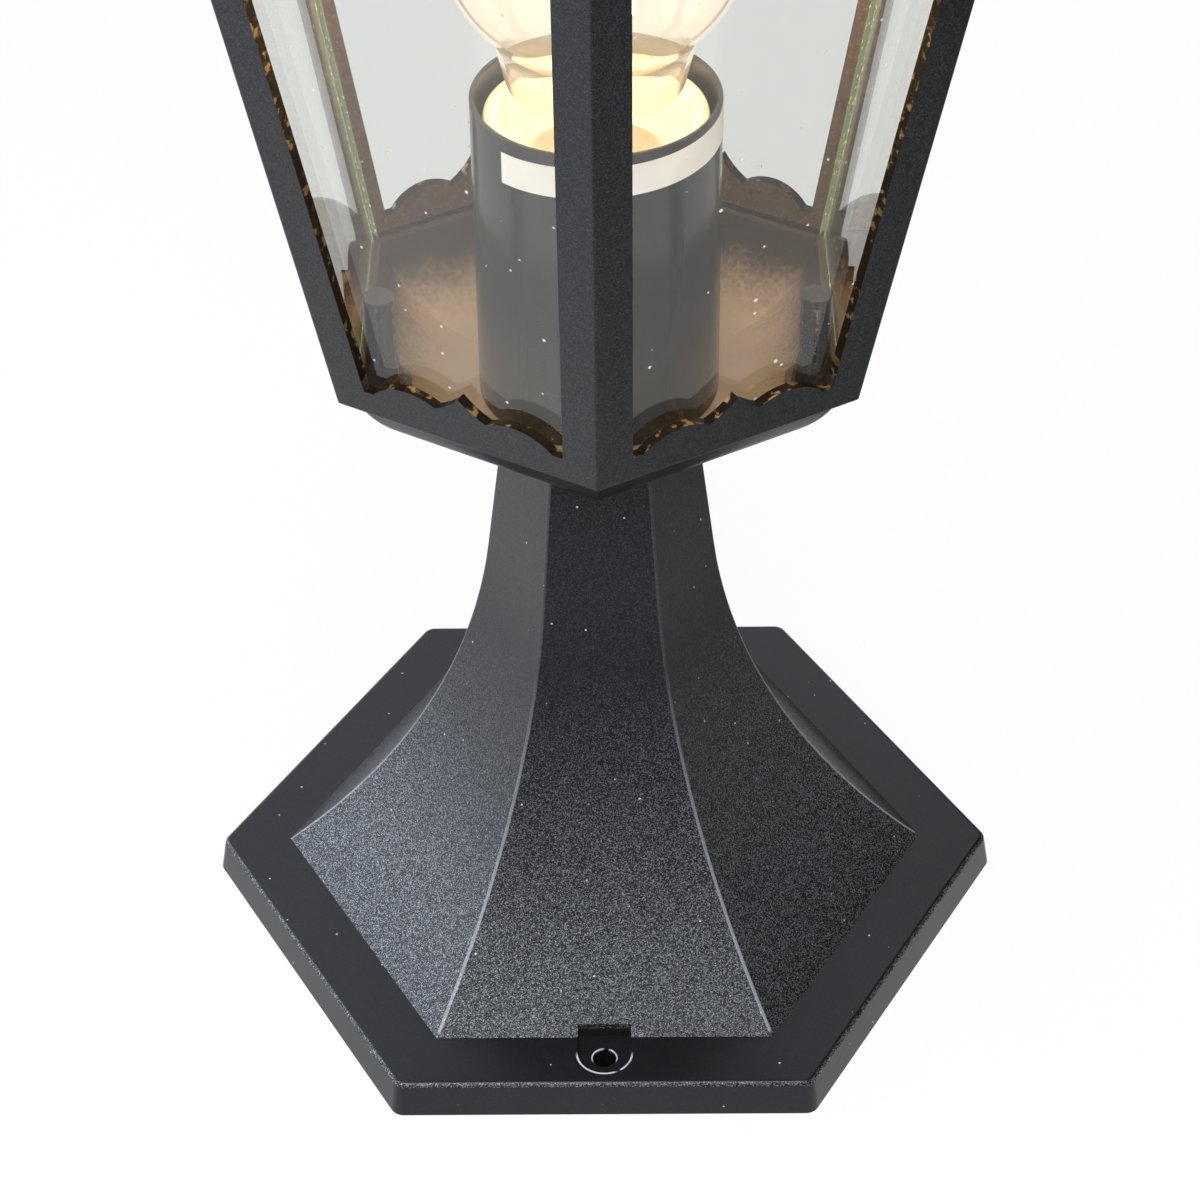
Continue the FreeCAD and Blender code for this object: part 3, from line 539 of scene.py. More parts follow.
        # The real grains are under 0.1 mm; they are drawn at the size that the eye can tell apart
        cells = add_node(tree, "ShaderNodeTexVoronoi", {"Vector": spot, "Scale": per_metre(self.flake_mm)})
        chance = add_node(tree, "ShaderNodeSeparateColor", {"Color": cells["Color"]})["Red"]
        flake = add_node(tree, "ShaderNodeMapRange", {
            "Value": chance, "From Min": 1 - self.flake_share, "From Max": 1.0, "To Max": self.flake_metal,
        })["Result"]
        # The grains' spread paints a highlight at the foot and on the plate's rounded edge
        grain = self.grains(tree, height, upward)
        metal = joined(tree, "MULTIPLY", flake, grain)
        cloud, peel = (
            add_node(tree, "ShaderNodeTexNoise", {"Vector": spot, "Scale": per_metre(size), "Detail": detail})["Fac"]
            for size, detail in ((self.cloud_mm, 3.0), (self.peel_mm, 2.0))
        )
        shade = add_node(tree, "ShaderNodeMapRange", {"Value": cloud, "To Min": 0.8, "To Max": 1.2})["Result"]
        colour = add_node(
            tree, "ShaderNodeMix", {0: 1.0, 6: linear(self.colour), 7: shade}, data_type="RGBA",
            blend_type="MULTIPLY",
        )[2]
        gleam: Setting = self.specular
        marks: tuple[Mark, ...] = ()
        if self.zone is CoatZone.LANTERN:
            marks = self.wear(tree, spot, height)
            edge, bare = marks[2][0], marks[3][0]
            # The windows' edges gleam less, and so do the surfaces that face down, as a painted shade on the
            # undersides
            underside_shade = add_node(tree, "ShaderNodeMapRange", {
                "Value": upward, "From Min": -0.6, "From Max": -0.3, "To Min": self.dull, "To Max": self.specular,
            })["Result"]
            gleam = add_node(
                tree, "ShaderNodeMapRange", {"Value": edge, "To Min": underside_shade, "To Max": self.dull}
            )["Result"]
            # The chips and the painted glints are drawn as gold metal
            metal = joined(tree, "MAXIMUM", metal, bare)
        if self.zone is CoatZone.PEDESTAL:
            # Painted highlights on the ridges and the bolt holes' rims, with single grains of dust
            lines = (self.ridges(tree, spot, grain), self.lip_highlights_and_dust(tree, spot, height))
            marks = tuple((mask, linear(self.highlight_and_dust_colour)) for mask in lines)
        for mask, tone in ((metal, linear(self.flake_colour)), *marks):
            colour = add_node(tree, "ShaderNodeMix", {0: mask, 6: colour, 7: tone}, data_type="RGBA")[2]
        surface = add_node(tree, "ShaderNodeBump", {
            "Strength": self.peel_strength, "Distance": self.peel_depth_mm * MM, "Height": peel,
            "Normal": self.tilted(tree, normal, cells, grain),
        })["Normal"]
        shine = add_node(tree, "ShaderNodeMapRange", {
            "Value": cloud, "To Min": self.roughness - self.roughness_change,
            "To Max": self.roughness + self.roughness_change,
        })["Result"]
        return add_node(tree, "ShaderNodeBsdfPrincipled", {
            "Base Color": colour, "Metallic": metal, "Roughness": shine, "Specular IOR Level": gleam,
            "Specular Tint": linear(self.gleam_colour), "Normal": surface,
        })["BSDF"]


@dataclass(frozen=True)
class Plain(LabelledFinish):
    """A solid finish in one colour, with slow changes of shade and gloss and a fine grain."""

    colour: str
    shade: str
    roughness: float
    metallic: float = 0.0
    specular: float = 0.5
    patch_mm: float = 6.0
    grain_mm: float = 0.4
    grain_depth_mm: float = 0.01
    grain_strength: float = 0.4
    gloss_change: float = 0.15
    stretch: Place = (1.0, 1.0, 1.0)
    glow: str = "#000000"
    glow_strength: float = 0.0
    coat: float = 0.0

    def paint(self, tree: Tree) -> Socket:
        """Adds two shades in patches, with the grain as a bump and in the gloss.

        Args:
            tree: The material's empty tree.

        Returns:
            The socket of the finished shader.
        """
        spot = add_node(tree, "ShaderNodeTexCoord")["Object"]
        drawn = add_node(tree, "ShaderNodeMapping", {"Vector": spot, "Scale": self.stretch})["Vector"]
        patch, grain = (
            add_node(tree, "ShaderNodeTexNoise", {"Vector": drawn, "Scale": per_metre(size), "Detail": detail})["Fac"]
            for size, detail in ((self.patch_mm, 4.0), (self.grain_mm, 2.0))
        )
        spread = add_node(tree, "ShaderNodeMapRange", {"Value": patch, "From Min": 0.3, "From Max": 0.7})["Result"]
        colour = add_node(
            tree, "ShaderNodeMix", {0: spread, 6: linear(self.colour), 7: linear(self.shade)}, data_type="RGBA"
        )[2]
        surface = add_node(tree, "ShaderNodeBump", {
            "Strength": self.grain_strength, "Distance": self.grain_depth_mm * MM, "Height": grain,
        })["Normal"]
        gloss = add_node(tree, "ShaderNodeMapRange", {
            "Value": spread, "To Min": self.roughness * (1 - self.gloss_change),
            "To Max": min(1.0, self.roughness * (1 + self.gloss_change)),
        })["Result"]
        return add_node(tree, "ShaderNodeBsdfPrincipled", {
            "Base Color": colour, "Metallic": self.metallic, "Roughness": gloss, "Specular IOR Level": self.specular,
            "Normal": surface, "Coat Weight": self.coat, "Emission Color": linear(self.glow),
            "Emission Strength": self.glow_strength,
        })["BSDF"]


@dataclass(frozen=True)
class ClearGlass(LabelledFinish):
    """Float or blown glass: clear, with a slight tint and a few specks of dust, and open to the lamps' light."""

    tint: str
    speck_colour: str = "#d8d2c4"
    speck_mm: float = 5.5
    speck_size: float = 0.08
    roughness: float = 0.0
    ior: float = 1.5
    specular: float = 0.5
    clouding: float = 0.0
    # A painted glow on glass, standing in for light from the bulb
    glow: str = "#000000"
    glow_strength: float = 0.0

    def paint(self, tree: Tree) -> Socket:
        """Adds the glass, its specks, and the way past it for the lamps' light.

        Args:
            tree: The material's empty tree.

        Returns:
            The socket of the finished shader.
        """
        spot = add_node(tree, "ShaderNodeTexCoord")["Object"]
        cells = add_node(tree, "ShaderNodeTexVoronoi", {"Vector": spot, "Scale": per_metre(self.speck_mm)})
        size = add_node(tree, "ShaderNodeSeparateColor", {"Color": cells["Color"]})["Green"]
        limit = add_node(
            tree, "ShaderNodeMapRange", {"Value": size, "To Min": 0.0, "To Max": self.speck_size}
        )["Result"]
        speck = joined(tree, "LESS_THAN", cells["Distance"], limit)
        colour = add_node(
            tree, "ShaderNodeMix", {0: speck, 6: linear(self.tint), 7: linear(self.speck_colour)}, data_type="RGBA"
        )[2]
        clear = add_node(
            tree, "ShaderNodeMapRange", {"Value": speck, "To Min": 1 - self.clouding, "To Max": 0.0}
        )["Result"]
        glass = add_node(tree, "ShaderNodeBsdfPrincipled", {
            "Base Color": colour, "Roughness": self.roughness, "IOR": self.ior, "Specular IOR Level": self.specular,
            "Transmission Weight": clear, "Emission Color": linear(self.glow),
            "Emission Strength": self.glow_strength,
        })["BSDF"]
        opening = add_node(tree, "ShaderNodeBsdfTransparent", {"Color": linear(self.tint)})["BSDF"]
        shadow = add_node(tree, "ShaderNodeLightPath")["Is Shadow Ray"]
        return add_node(tree, "ShaderNodeMixShader", {0: shadow, 1: glass, 2: opening})["Shader"]


# Glossy stoved paint on a drawn steel tube: dark grey, with faint upright draw lines
TUBE_PAINT = Plain(
    "stoved_tube_paint", "#222526", "#2b2f2f", 0.2, stretch=(1.0, 1.0, 0.04), patch_mm=3.0, grain_depth_mm=0.001
)
# Unprinted vinyl film: matt white, a little yellowed
BAND_FILM = Plain("white_vinyl_film", "#fdfdfb", "#f3f2ee", 0.45, patch_mm=8.0)
# The tube's inside: steel painted amber, a painted glow of the bulb's light bounced off the holder
TUBE_INSIDE_GLOW = Plain("heat_browned_steel", "#b58e58", "#7a5c38", 0.35, metallic=0.4, patch_mm=5.0)
# Glazed steatite porcelain: ivory white under a glossy coat
PORCELAIN = Plain("glazed_porcelain", "#f3eee2", "#e9e0cd", 0.22, coat=0.6, patch_mm=9.0)
# Rolled brass: yellow metal with fine handling marks
BRASS = Plain("rolled_brass", "#c9a45a", "#a98443", 0.3, metallic=1.0)
# Nickel plated cap: warm white metal
CAP_METAL = Plain("nickel_plated_cap", "#d6d1c4", "#b7b1a3", 0.28, metallic=1.0)
# Black glass between the cap and its tip
CAP_GLASS = Plain("black_cap_glass", "#141418", "#1f1f24", 0.15)
# Tin solder: dull grey metal with a frosted skin
SOLDER = Plain("tin_solder", "#b1b1ad", "#8f8f8b", 0.45, metallic=1.0, patch_mm=1.5)
# Basing cement: dry, pale brown and grainy
CEMENT = Plain("basing_cement", "#b9a88d", "#9d8c72", 0.85, grain_mm=0.5, grain_depth_mm=0.05)
# Glowing filament stick: warm white light from a coated rod
FILAMENT = Plain("glowing_filament", "#ffdfae", "#ffd08c", 0.6, glow="#ffcf8a", glow_strength=14.0)
# Nickel wire: thin bright metal
WIRE = Plain("nickel_wire", "#c7c4bd", "#a5a29b", 0.25, metallic=1.0)
# Zinc plated steel: blue-white metal with cloudy patches
ZINC = Plain("zinc_plated_steel", "#bfc3c8", "#989da3", 0.36, metallic=1.0, patch_mm=3.5)
# Moulded polyamide: off-white with a soft gloss
POLYAMIDE = Plain("moulded_polyamide", "#e6e1d4", "#dad4c4", 0.42)
# Extruded PVC insulation: soft gloss
BROWN_PVC = Plain("brown_pvc", "#5b3520", "#4c2b19", 0.4)
BLUE_PVC = Plain("blue_pvc", "#2c5f9e", "#245089", 0.4)
# Float glass: clear, faintly grey through its thickness
PANE_GLASS = ClearGlass("clear_float_glass", "#f0f1ef", specular=0.14)
# Cut and ground glass edge: pale green and half clear, with a painted glow and yellow-white painted glints of the
# bulb's light
GROUND_EDGE = ClearGlass(
    "ground_glass_edge", "#b4d2a8", speck_colour="#fff6b8", roughness=0.2, clouding=0.25, speck_mm=1.3,
    speck_size=0.4, glow="#b6c79c", glow_strength=0.28,
)
# Blown bulb glass: thin and clear, with a faint painted warm glow standing in for the light inside
BULB_GLASS = ClearGlass(
    "blown_bulb_glass", "#f8f6f0", speck_mm=14.0, speck_size=0.02, glow="#ffe2b8", glow_strength=0.14
)


def dress(node: str, finish: Finish) -> None:
    """Gives a CAD node a better material.

    Args:
        node: The node's name.
        finish: The finish that it gets.
    """
    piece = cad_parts[node]
    if not piece.material_slots:
        piece.data.materials.append(None)
    for slot in piece.material_slots:
        slot.material = finish.material()
    LOG.info("dressed %s in %s", node, finish.title())


def fit(piece: Piece, slot: str, *nodes: str) -> None:
    """Sets a finished piece on the body, in place of the CAD nodes that it stands for.

    Args:
        piece: The finished piece.
        slot: The name of a material slot; not used.
        nodes: The CAD nodes that it replaces.
    """
    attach(piece, BODY)
    if nodes:
        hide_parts(*nodes)
    LOG.info("built %s, %d faces", piece.name, len(piece.data.polygons))


def new_piece(name: str, data: bpy.types.ID) -> Piece:
    """Links a new object for a mesh, lamp or camera.

    Args:
        name: The object's name.
        data: Its mesh, lamp or camera.

    Returns:
        The object.
    """
    piece = bpy.data.objects.new(name, data)
    bpy.context.scene.collection.objects.link(piece)
    return piece


def new_lamp(name: str, kind: str, power: float, colour: str, place: Place) -> Piece:
    """Links a new lamp.

    Args:
        name: The lamp's name.
        kind: Blender's name for its kind.
        power: Its power in watts.
        colour: Its colour as a hex value.
        place: Where it stands, in metres.

    Returns:
        The lamp's object.
    """
    lamp = bpy.data.lights.new(name, kind)
    lamp.energy = power
    lamp.color = linear(colour)[:3]
    light = new_piece(name, lamp)
    light.location = place
    return light


def skin(name: str, points: Sequence[Place], faces: Sequence[Sequence[int]], finish: Finish) -> Mesh:
    """A mesh of points and faces in one finish.

    Args:
        name: The mesh's name.
        points: The places of its points, in metres.
        faces: The numbers of each face's points.
        finish: Its finish.

    Returns:
        The mesh.
    """
    mesh = bpy.data.meshes.new(name)
    mesh.from_pydata(points, [], faces)
    mesh.materials.append(finish.material())
    return mesh


def poured(name: str, work: bmesh.types.BMesh) -> Mesh:
    """A mesh with the contents of a work mesh, which is freed.

    Args:
        name: The mesh's name.
        work: The work mesh.

    Returns:
        The mesh.
    """
    mesh = bpy.data.meshes.new(name)
    work.to_mesh(mesh)
    work.free()
    return mesh


def applied(piece: Piece) -> Mesh:
    """The mesh that a piece's modifiers make of it."""
    depsgraph = bpy.context.evaluated_depsgraph_get()
    return bpy.data.meshes.new_from_object(piece.evaluated_get(depsgraph), depsgraph=depsgraph)


def soften(mesh: Mesh, angle: float = 35.0) -> None:
    """Turns a mesh's faces outwards and smooths it, apart from its sharp edges.

    Args:
        mesh: The mesh.
        angle: The least angle of a sharp edge, in degrees.
    """
    work = bmesh.new()
    work.from_mesh(mesh)
    bmesh.ops.recalc_face_normals(work, faces=work.faces)
    work.to_mesh(mesh)
    work.free()
    mesh.shade_smooth()
    mesh.set_sharp_from_angle(angle=math.radians(angle))


class NodeShape:
    """A Geometry Nodes tree with named inputs, that turns a source mesh into a plain mesh."""

    def __init__(self, name: str, sizes: Sequence[tuple[str, str]]) -> None:
        """Starts the tree.

        Args:
            name: The tree's name.
            sizes: The name and socket kind of each input after the geometry.
        """
        self.tree = bpy.data.node_groups.new(name, "GeometryNodeTree")
        face = self.tree.interface
        face.new_socket("Geometry", in_out="INPUT", socket_type="NodeSocketGeometry")
        for title, kind in sizes:
            face.new_socket(title, in_out="INPUT", socket_type=f"NodeSocket{kind}")
        face.new_socket("Geometry", in_out="OUTPUT", socket_type="NodeSocketGeometry")
        self.inputs = add_node(self.tree, "NodeGroupInput")

    def add(self, kind: str, inputs: Optional[dict[Any, Setting]] = None, **settings: Any) -> Any:
        """Adds a node to the tree, and gives its outputs."""
        return add_node(self.tree, kind, inputs, **settings)

    def join(self, operation: str, *numbers: Setting) -> Setting:
        """Joins numbers by one operation, from left to right."""
        return joined(self.tree, operation, *numbers)

    def placed(self, shape: Socket, turn: Socket, radius: Socket, height: Socket) -> tuple[Socket, Socket]:
        """Moves a shape's points round the axis.

        Args:
            shape: The socket of the shape.
            turn: Each point's share of a full turn.
            radius: Its distance from the axis.
            height: Its height.

        Returns:
            The sockets of the moved shape and of the angle.
        """
        angle = self.join("MULTIPLY", turn, math.tau)
        x, y = (
            self.join("MULTIPLY", radius, self.add("ShaderNodeMath", {0: angle}, operation=part)["Value"])
            for part in ("COSINE", "SINE")
        )
        spot = self.add("ShaderNodeCombineXYZ", {"X": x, "Y": y, "Z": height})["Vector"]
        return self.add("GeometryNodeSetPosition", {"Geometry": shape, "Position": spot})["Geometry"], angle

    def close(self, shape: Socket) -> None:
        """Ends the tree in real geometry with its material.

        Args:
            shape: The socket of the finished shape.
        """
        real = self.add("GeometryNodeRealizeInstances", {"Geometry": shape})["Geometry"]
        dressed = self.add("GeometryNodeSetMaterial", {"Geometry": real, "Material": self.inputs["Material"]})
        self.add("NodeGroupOutput", {"Geometry": dressed["Geometry"]})

    def make(self, name: str, source: Mesh, **sizes: Setting) -> Piece:
        """Runs the tree on a source mesh.

        Args:
            name: The new piece's name.
            source: The mesh that goes in.
            sizes: The inputs, with underscores for spaces.

        Returns:
            A plain mesh object with no modifier.
        """
        piece = new_piece(name, source)
        modifier = piece.modifiers.new(name, "NODES")
        modifier.node_group = self.tree
        for item in self.tree.interface.items_tree:
            key = item.name.replace(" ", "_").lower()
            if item.in_out == "INPUT" and key in sizes:
                modifier[item.identifier] = sizes[key]
        mesh = applied(piece)
        piece.modifiers.remove(modifier)
        piece.data = mesh
        mesh.name = name
        soften(mesh)
        return piece


def turned_shape() -> NodeShape:
    """The tree of a turned piece: a profile carried round the axis, with an optional rolled thread.

    Returns:
        The tree.
    """
    shape = NodeShape("turned_piece", (
        ("Segments", "Int"), ("Thread Depth", "Float"), ("Thread Pitch", "Float"), ("Thread Low", "Float"),
        ("Thread High", "Float"), ("Thread Fade", "Float"), ("Material", "Material"),
    ))
    size = shape.inputs
    profile = size["Geometry"]
    count = shape.add("GeometryNodeAttributeDomainSize", {"Geometry": profile}, component="MESH")["Point Count"]
    columns = shape.join("ADD", size["Segments"], 1.0)
    sheet = shape.add("GeometryNodeMeshGrid", {"Vertices X": columns, "Vertices Y": count})["Mesh"]
    index = shape.add("GeometryNodeInputIndex")["Index"]
    row = shape.join("MODULO", index, count)
    column = shape.add("ShaderNodeMath", {0: shape.join("DIVIDE", index, count)}, operation="FLOOR")["Value"]
    turn = shape.join("DIVIDE", column, size["Segments"])
    place = shape.add("GeometryNodeInputPosition")["Position"]
    sampled = shape.add(
        "GeometryNodeSampleIndex", {"Geometry": profile, "Value": place, "Index": row}, data_type="FLOAT_VECTOR"
    )["Value"]
    across = shape.add("ShaderNodeSeparateXYZ", {"Vector": sampled})
    lap = shape.join("SUBTRACT", shape.join("DIVIDE", across["Z"], size["Thread Pitch"]), turn)
    wave = shape.add("ShaderNodeMath", {0: shape.join("MULTIPLY", lap, math.tau)}, operation="SINE")["Value"]
    wave = shape.add("ShaderNodeMath", {0: wave, 1: 0.5, 2: 0.5}, operation="MULTIPLY_ADD")["Value"]
    ends = [
        shape.add("ShaderNodeMapRange", {
            "Value": across["Z"], "From Min": size[end], "From Max": shape.join(way, size[end], size["Thread Fade"]),
        })["Result"]
        for end, way in (("Thread Low", "ADD"), ("Thread High", "SUBTRACT"))
    ]
    groove = shape.join("MULTIPLY", wave, size["Thread Depth"], shape.join("MULTIPLY", *ends))
    radius = shape.join("SUBTRACT", across["X"], groove)
    moved = shape.placed(sheet, turn, radius, across["Z"])[0]
    shape.close(shape.add("GeometryNodeMergeByDistance", {"Geometry": moved, "Distance": WELD})["Geometry"])
    return shape


def ring_shape() -> NodeShape:
    """The tree of a ring of like pieces, each facing outwards from the axis.

    Returns:
        The tree.
    """
    shape = NodeShape("ring_of_pieces", (
        ("Count", "Int"), ("Radius", "Float"), ("Height", "Float"), ("Spin", "Float"), ("Seed", "Int"),
        ("Material", "Material"),
    ))
    size = shape.inputs
    points = shape.add("GeometryNodeMeshLine", {"Count": size["Count"], "Offset": (0.0, 0.0, 0.0)})["Mesh"]
    index = shape.add("GeometryNodeInputIndex")["Index"]
    turn = shape.join("DIVIDE", index, size["Count"])
    moved, angle = shape.placed(points, turn, size["Radius"], size["Height"])
    drive = shape.add(
        "FunctionNodeRandomValue", {"Max": size["Spin"], "ID": index, "Seed": size["Seed"]}, data_type="FLOAT"
    )
    facing = shape.add("ShaderNodeCombineXYZ", {"X": drive[1], "Z": angle})["Vector"]
    shape.close(shape.add(
        "GeometryNodeInstanceOnPoints", {"Points": moved, "Instance": size["Geometry"], "Rotation": facing}
    )["Instances"])
    return shape


def arc(start: Point, end: Point, radius: float, side: int, steps: int) -> list[Point]:
    """The points of an arc from one point to another, without the first.

    Args:
        start: The first point.
        end: The last point.
        radius: The arc's radius.
        side: 1 to bulge to the right of the way, -1 to the left.
        steps: How many points are given.

    Returns:
        The points, the last among them.
    """
    ax, ay = start
    bx, by = end
    span = math.hypot(bx - ax, by - ay)
    deep = math.sqrt(max(0.0, radius * radius - span * span / 4))
    cx = (ax + bx) / 2 - side * deep * (by - ay) / span
    cy = (ay + by) / 2 + side * deep * (bx - ax) / span
    first = math.atan2(ay - cy, ax - cx)
    swing = (math.atan2(by - cy, bx - cx) - first + math.pi) % math.tau - math.pi
    angles = (first + swing * step / steps for step in range(1, steps + 1))
    return [(cx + radius * math.cos(a), cy + radius * math.sin(a)) for a in angles]


def eased(corners: Sequence[tuple[float, float, float]], steps: int = 6) -> list[Point]:
    """A closed outline whose corners are rounded.

    Args:
        corners: Each corner's place across and up, and the radius that rounds it.
        steps: How many points each rounding has.

    Returns:
        The outline's points, the first one again at the end.
    """
    points: list[Point] = []
    for at, (x, y, radius) in enumerate(corners):
        spot = Vector((x, y))
        back = (Vector(corners[at - 1][:2]) - spot).normalized()
        ahead = (Vector(corners[(at + 1) % len(corners)][:2]) - spot).normalized()
        if radius <= 0:
            points.append((x, y))
            continue
        half = back.angle(ahead) / 2
        reach = radius / math.tan(half)
        first, last = spot + back * reach, spot + ahead * reach
        side = 1 if back.x * ahead.y - back.y * ahead.x < 0 else -1
        points.append(tuple(first))
        points.extend(arc(tuple(first), tuple(last), radius, side, steps))
    return points + points[:1]


def even_steps(low: float, high: float, count: int) -> list[float]:
    """The heights that part a length into equal steps."""
    return [low + (high - low) * at / count for at in range(count + 1)]


def turned_piece(
    shape: NodeShape, name: str, points: Sequence[Point], up: float, segments: int, finish: Finish, **thread: float
) -> Piece:
    """Turns a profile round the axis.

    Args:
        shape: The tree of a turned piece.
        name: The piece's name.
        points: The profile's places across and up, in millimetres.
        up: A height added to all of them.
        segments: How many steps go round.
        finish: The piece's finish.
        thread: The inputs of a rolled thread.

    Returns:
        The piece.
    """
    mesh = bpy.data.meshes.new(f"{name}_profile")
    edges = [(at, at + 1) for at in range(len(points) - 1)]
    mesh.from_pydata([(x * MM, 0.0, (z + up) * MM) for x, z in points], edges, [])
    return shape.make(name, mesh, segments=segments, material=finish.material(), **thread)


@dataclass(frozen=True)
class Thread:
    """A rolled thread, which fades out at both ends."""

    depth: float
    pitch: float
    fade: float = 1.5

    def sizes(self, low: float, high: float) -> dict[str, float]:
        """The inputs of a turned piece with this thread between two heights.

        Args:
            low: The thread's lower end.
            high: Its upper end.

        Returns:
            Each input's name and its value in metres.
        """
        values = {"depth": self.depth, "pitch": self.pitch, "low": low, "high": high, "fade": self.fade}
        return {f"thread_{name}": value * MM for name, value in values.items()}


@dataclass
class Pedestal:
    """Cast base plate, flare and neck."""

    def build(self) -> None:
        """Dresses the casting, whose CAD shape is right."""
        dress("pedestal_base", PowderCoat(CoatZone.PEDESTAL))


@dataclass
class Lantern:
    """Cast cage with six panes."""

    floor: float = 151.2
    head: float = 283.0
    cage_low: float = 148.2
    cage_height: float = 145.0
    cage_radius: float = 57.0
    cage_top_radius: float = 85.8
    inset: float = 2.4
    thickness: float = 3.0
    edge_gap: float = 0.8
    bevel: float = 0.35
    # Panes whose feet carry the painted glow of the ground edge
    glowing_feet: tuple[int, ...] = (0, 3)

    def outer(self, height: float) -> float:
        """The distance of the panes' outer faces from the axis at a height.

        Args:
            height: The height above the ground.

        Returns:
            The distance.
        """
        share = (height - self.cage_low) / self.cage_height
        corner = self.cage_radius + (self.cage_top_radius - self.cage_radius) * share
        return corner * math.cos(HALF_SIDE) - self.inset

    def pane(self, index: int) -> Piece:
        """One pane with bevelled and ground edges.

        Args:
            index: The side of the cage, from 0.

        Returns:
            The pane.
        """
        work = bmesh.new()
        rows = []
        for height in (self.floor, self.head):
            far = self.outer(height)
            near = far - self.thickness
            half = near * math.tan(HALF_SIDE) - self.edge_gap
            rows.append([
                work.verts.new((x * MM, y * MM, height * MM))
                for x, y in ((near, -half), (far, -half), (far, half), (near, half))
            ])
        low, high = rows
        work.faces.new(low[::-1])
        work.faces.new(high)
        for at in range(4):
            to = (at + 1) % 4
            work.faces.new((low[at], low[to], high[to], high[at]))
        bmesh.ops.recalc_face_normals(work, faces=work.faces)
        bmesh.ops.bevel(
            work, geom=work.edges[:], offset=self.bevel * MM, segments=2, affect="EDGES", profile=0.5
        )
        for face in work.faces:
            # The feet of the other panes keep the clear glass, without the painted glow
            plain_foot = face.normal.z < -0.5 and index not in self.glowing_feet
            flat = abs(face.normal.x) > 0.9 or plain_foot
            face.material_index = (PaneSlot.FACE if flat else PaneSlot.EDGE).value
        work.transform(Matrix.Rotation(index * math.tau / SIDES, 4, "Z"))
        mesh = poured(f"pane_{index + 1}", work)
        for finish in (PANE_GLASS, GROUND_EDGE):
            mesh.materials.append(finish.material())
        return new_piece(f"bevelled_pane_{index + 1}", mesh)

    def build(self) -> None:
        """Dresses the cage and builds its panes."""
        dress("lantern_frame", PowderCoat(CoatZone.LANTERN))
        for index in range(SIDES):
            fit(self.pane(index), "pane_glass", f"glass_pane_{index + 1}")


@dataclass
class LampTube:
    """Drawn tube around the lampholder, with a plain band round it."""

    base: float = 134.2
    radius: float = 23.0
    wall: float = 1.0
    height: float = 65.6
    hole: float = 5.3
    rim: float = 0.45
    foot_rounding: float = 0.6
    inner_rounding: float = 0.4
    band_low: float = 190.4
    band_height: float = 6.4
    band_tilt: float = 2.0
    band_start: float = -136.0
    band_end: float = 8.0
    band_thickness: float = 0.12
    band_gap: float = 0.01
    band_steps: int = 96
    segments: int = 128

    def tube(self, shape: NodeShape) -> Piece:
        """The tube with its rounded rim.

        Args:
            shape: The tree of a turned piece.

        Returns:
            The tube.
        """
        outline = eased((
            (self.hole, 0, 0), (self.radius, 0, self.foot_rounding), (self.radius, self.height, self.rim),
            (self.radius - self.wall, self.height, self.rim),
            (self.radius - self.wall, self.wall, self.inner_rounding), (self.hole, self.wall, 0),
        ))
        tube = turned_piece(shape, "drawn_tube", outline, self.base, self.segments, TUBE_PAINT)
        # The second finish paints the bulb's amber glow on the tube's inside
        tube.data.materials.append(TUBE_INSIDE_GLOW.material())
        # The faces just within the wall are the inside, which has the second finish
        inside = (self.radius - self.wall * 0.9) * MM
        for face in tube.data.polygons:
            middle = face.center
            if math.hypot(middle.x, middle.y) < inside and middle.z > (self.base + self.wall * 0.5) * MM:
                face.material_index = 1
        return tube

    def band(self) -> Piece:
        """The plain band, a thin closed strip stuck a little askew on the tube's outside.

        Returns:
            The band.
        """
        inner = self.radius + self.band_gap
        outer, high = inner + self.band_thickness, self.band_height
        section = ((inner, 0.0), (outer, 0.0), (outer, high), (inner, high))
        points, faces = [], []
        for step in range(self.band_steps + 1):
            share = step / self.band_steps
            angle = math.radians(self.band_start + (self.band_end - self.band_start) * share)
            low = self.band_low + self.band_tilt * share
            points += [(r * MM * math.cos(angle), r * MM * math.sin(angle), (low + z) * MM) for r, z in section]
        for step in range(self.band_steps):
            for at in range(4):
                here, to = step * 4 + at, step * 4 + (at + 1) % 4
                faces.append((here, to, to + 4, here + 4))
        last = self.band_steps * 4
        faces += [(3, 2, 1, 0), (last, last + 1, last + 2, last + 3)]
        mesh = skin("tube_band", points, faces, BAND_FILM)
        soften(mesh)
        return new_piece("plain_band", mesh)

    def build(self, shape: NodeShape) -> None:
        """Builds the tube and its band."""
        fit(self.tube(shape), "tube_paint", "socket_tube")
        fit(self.band(), "tube_paint")


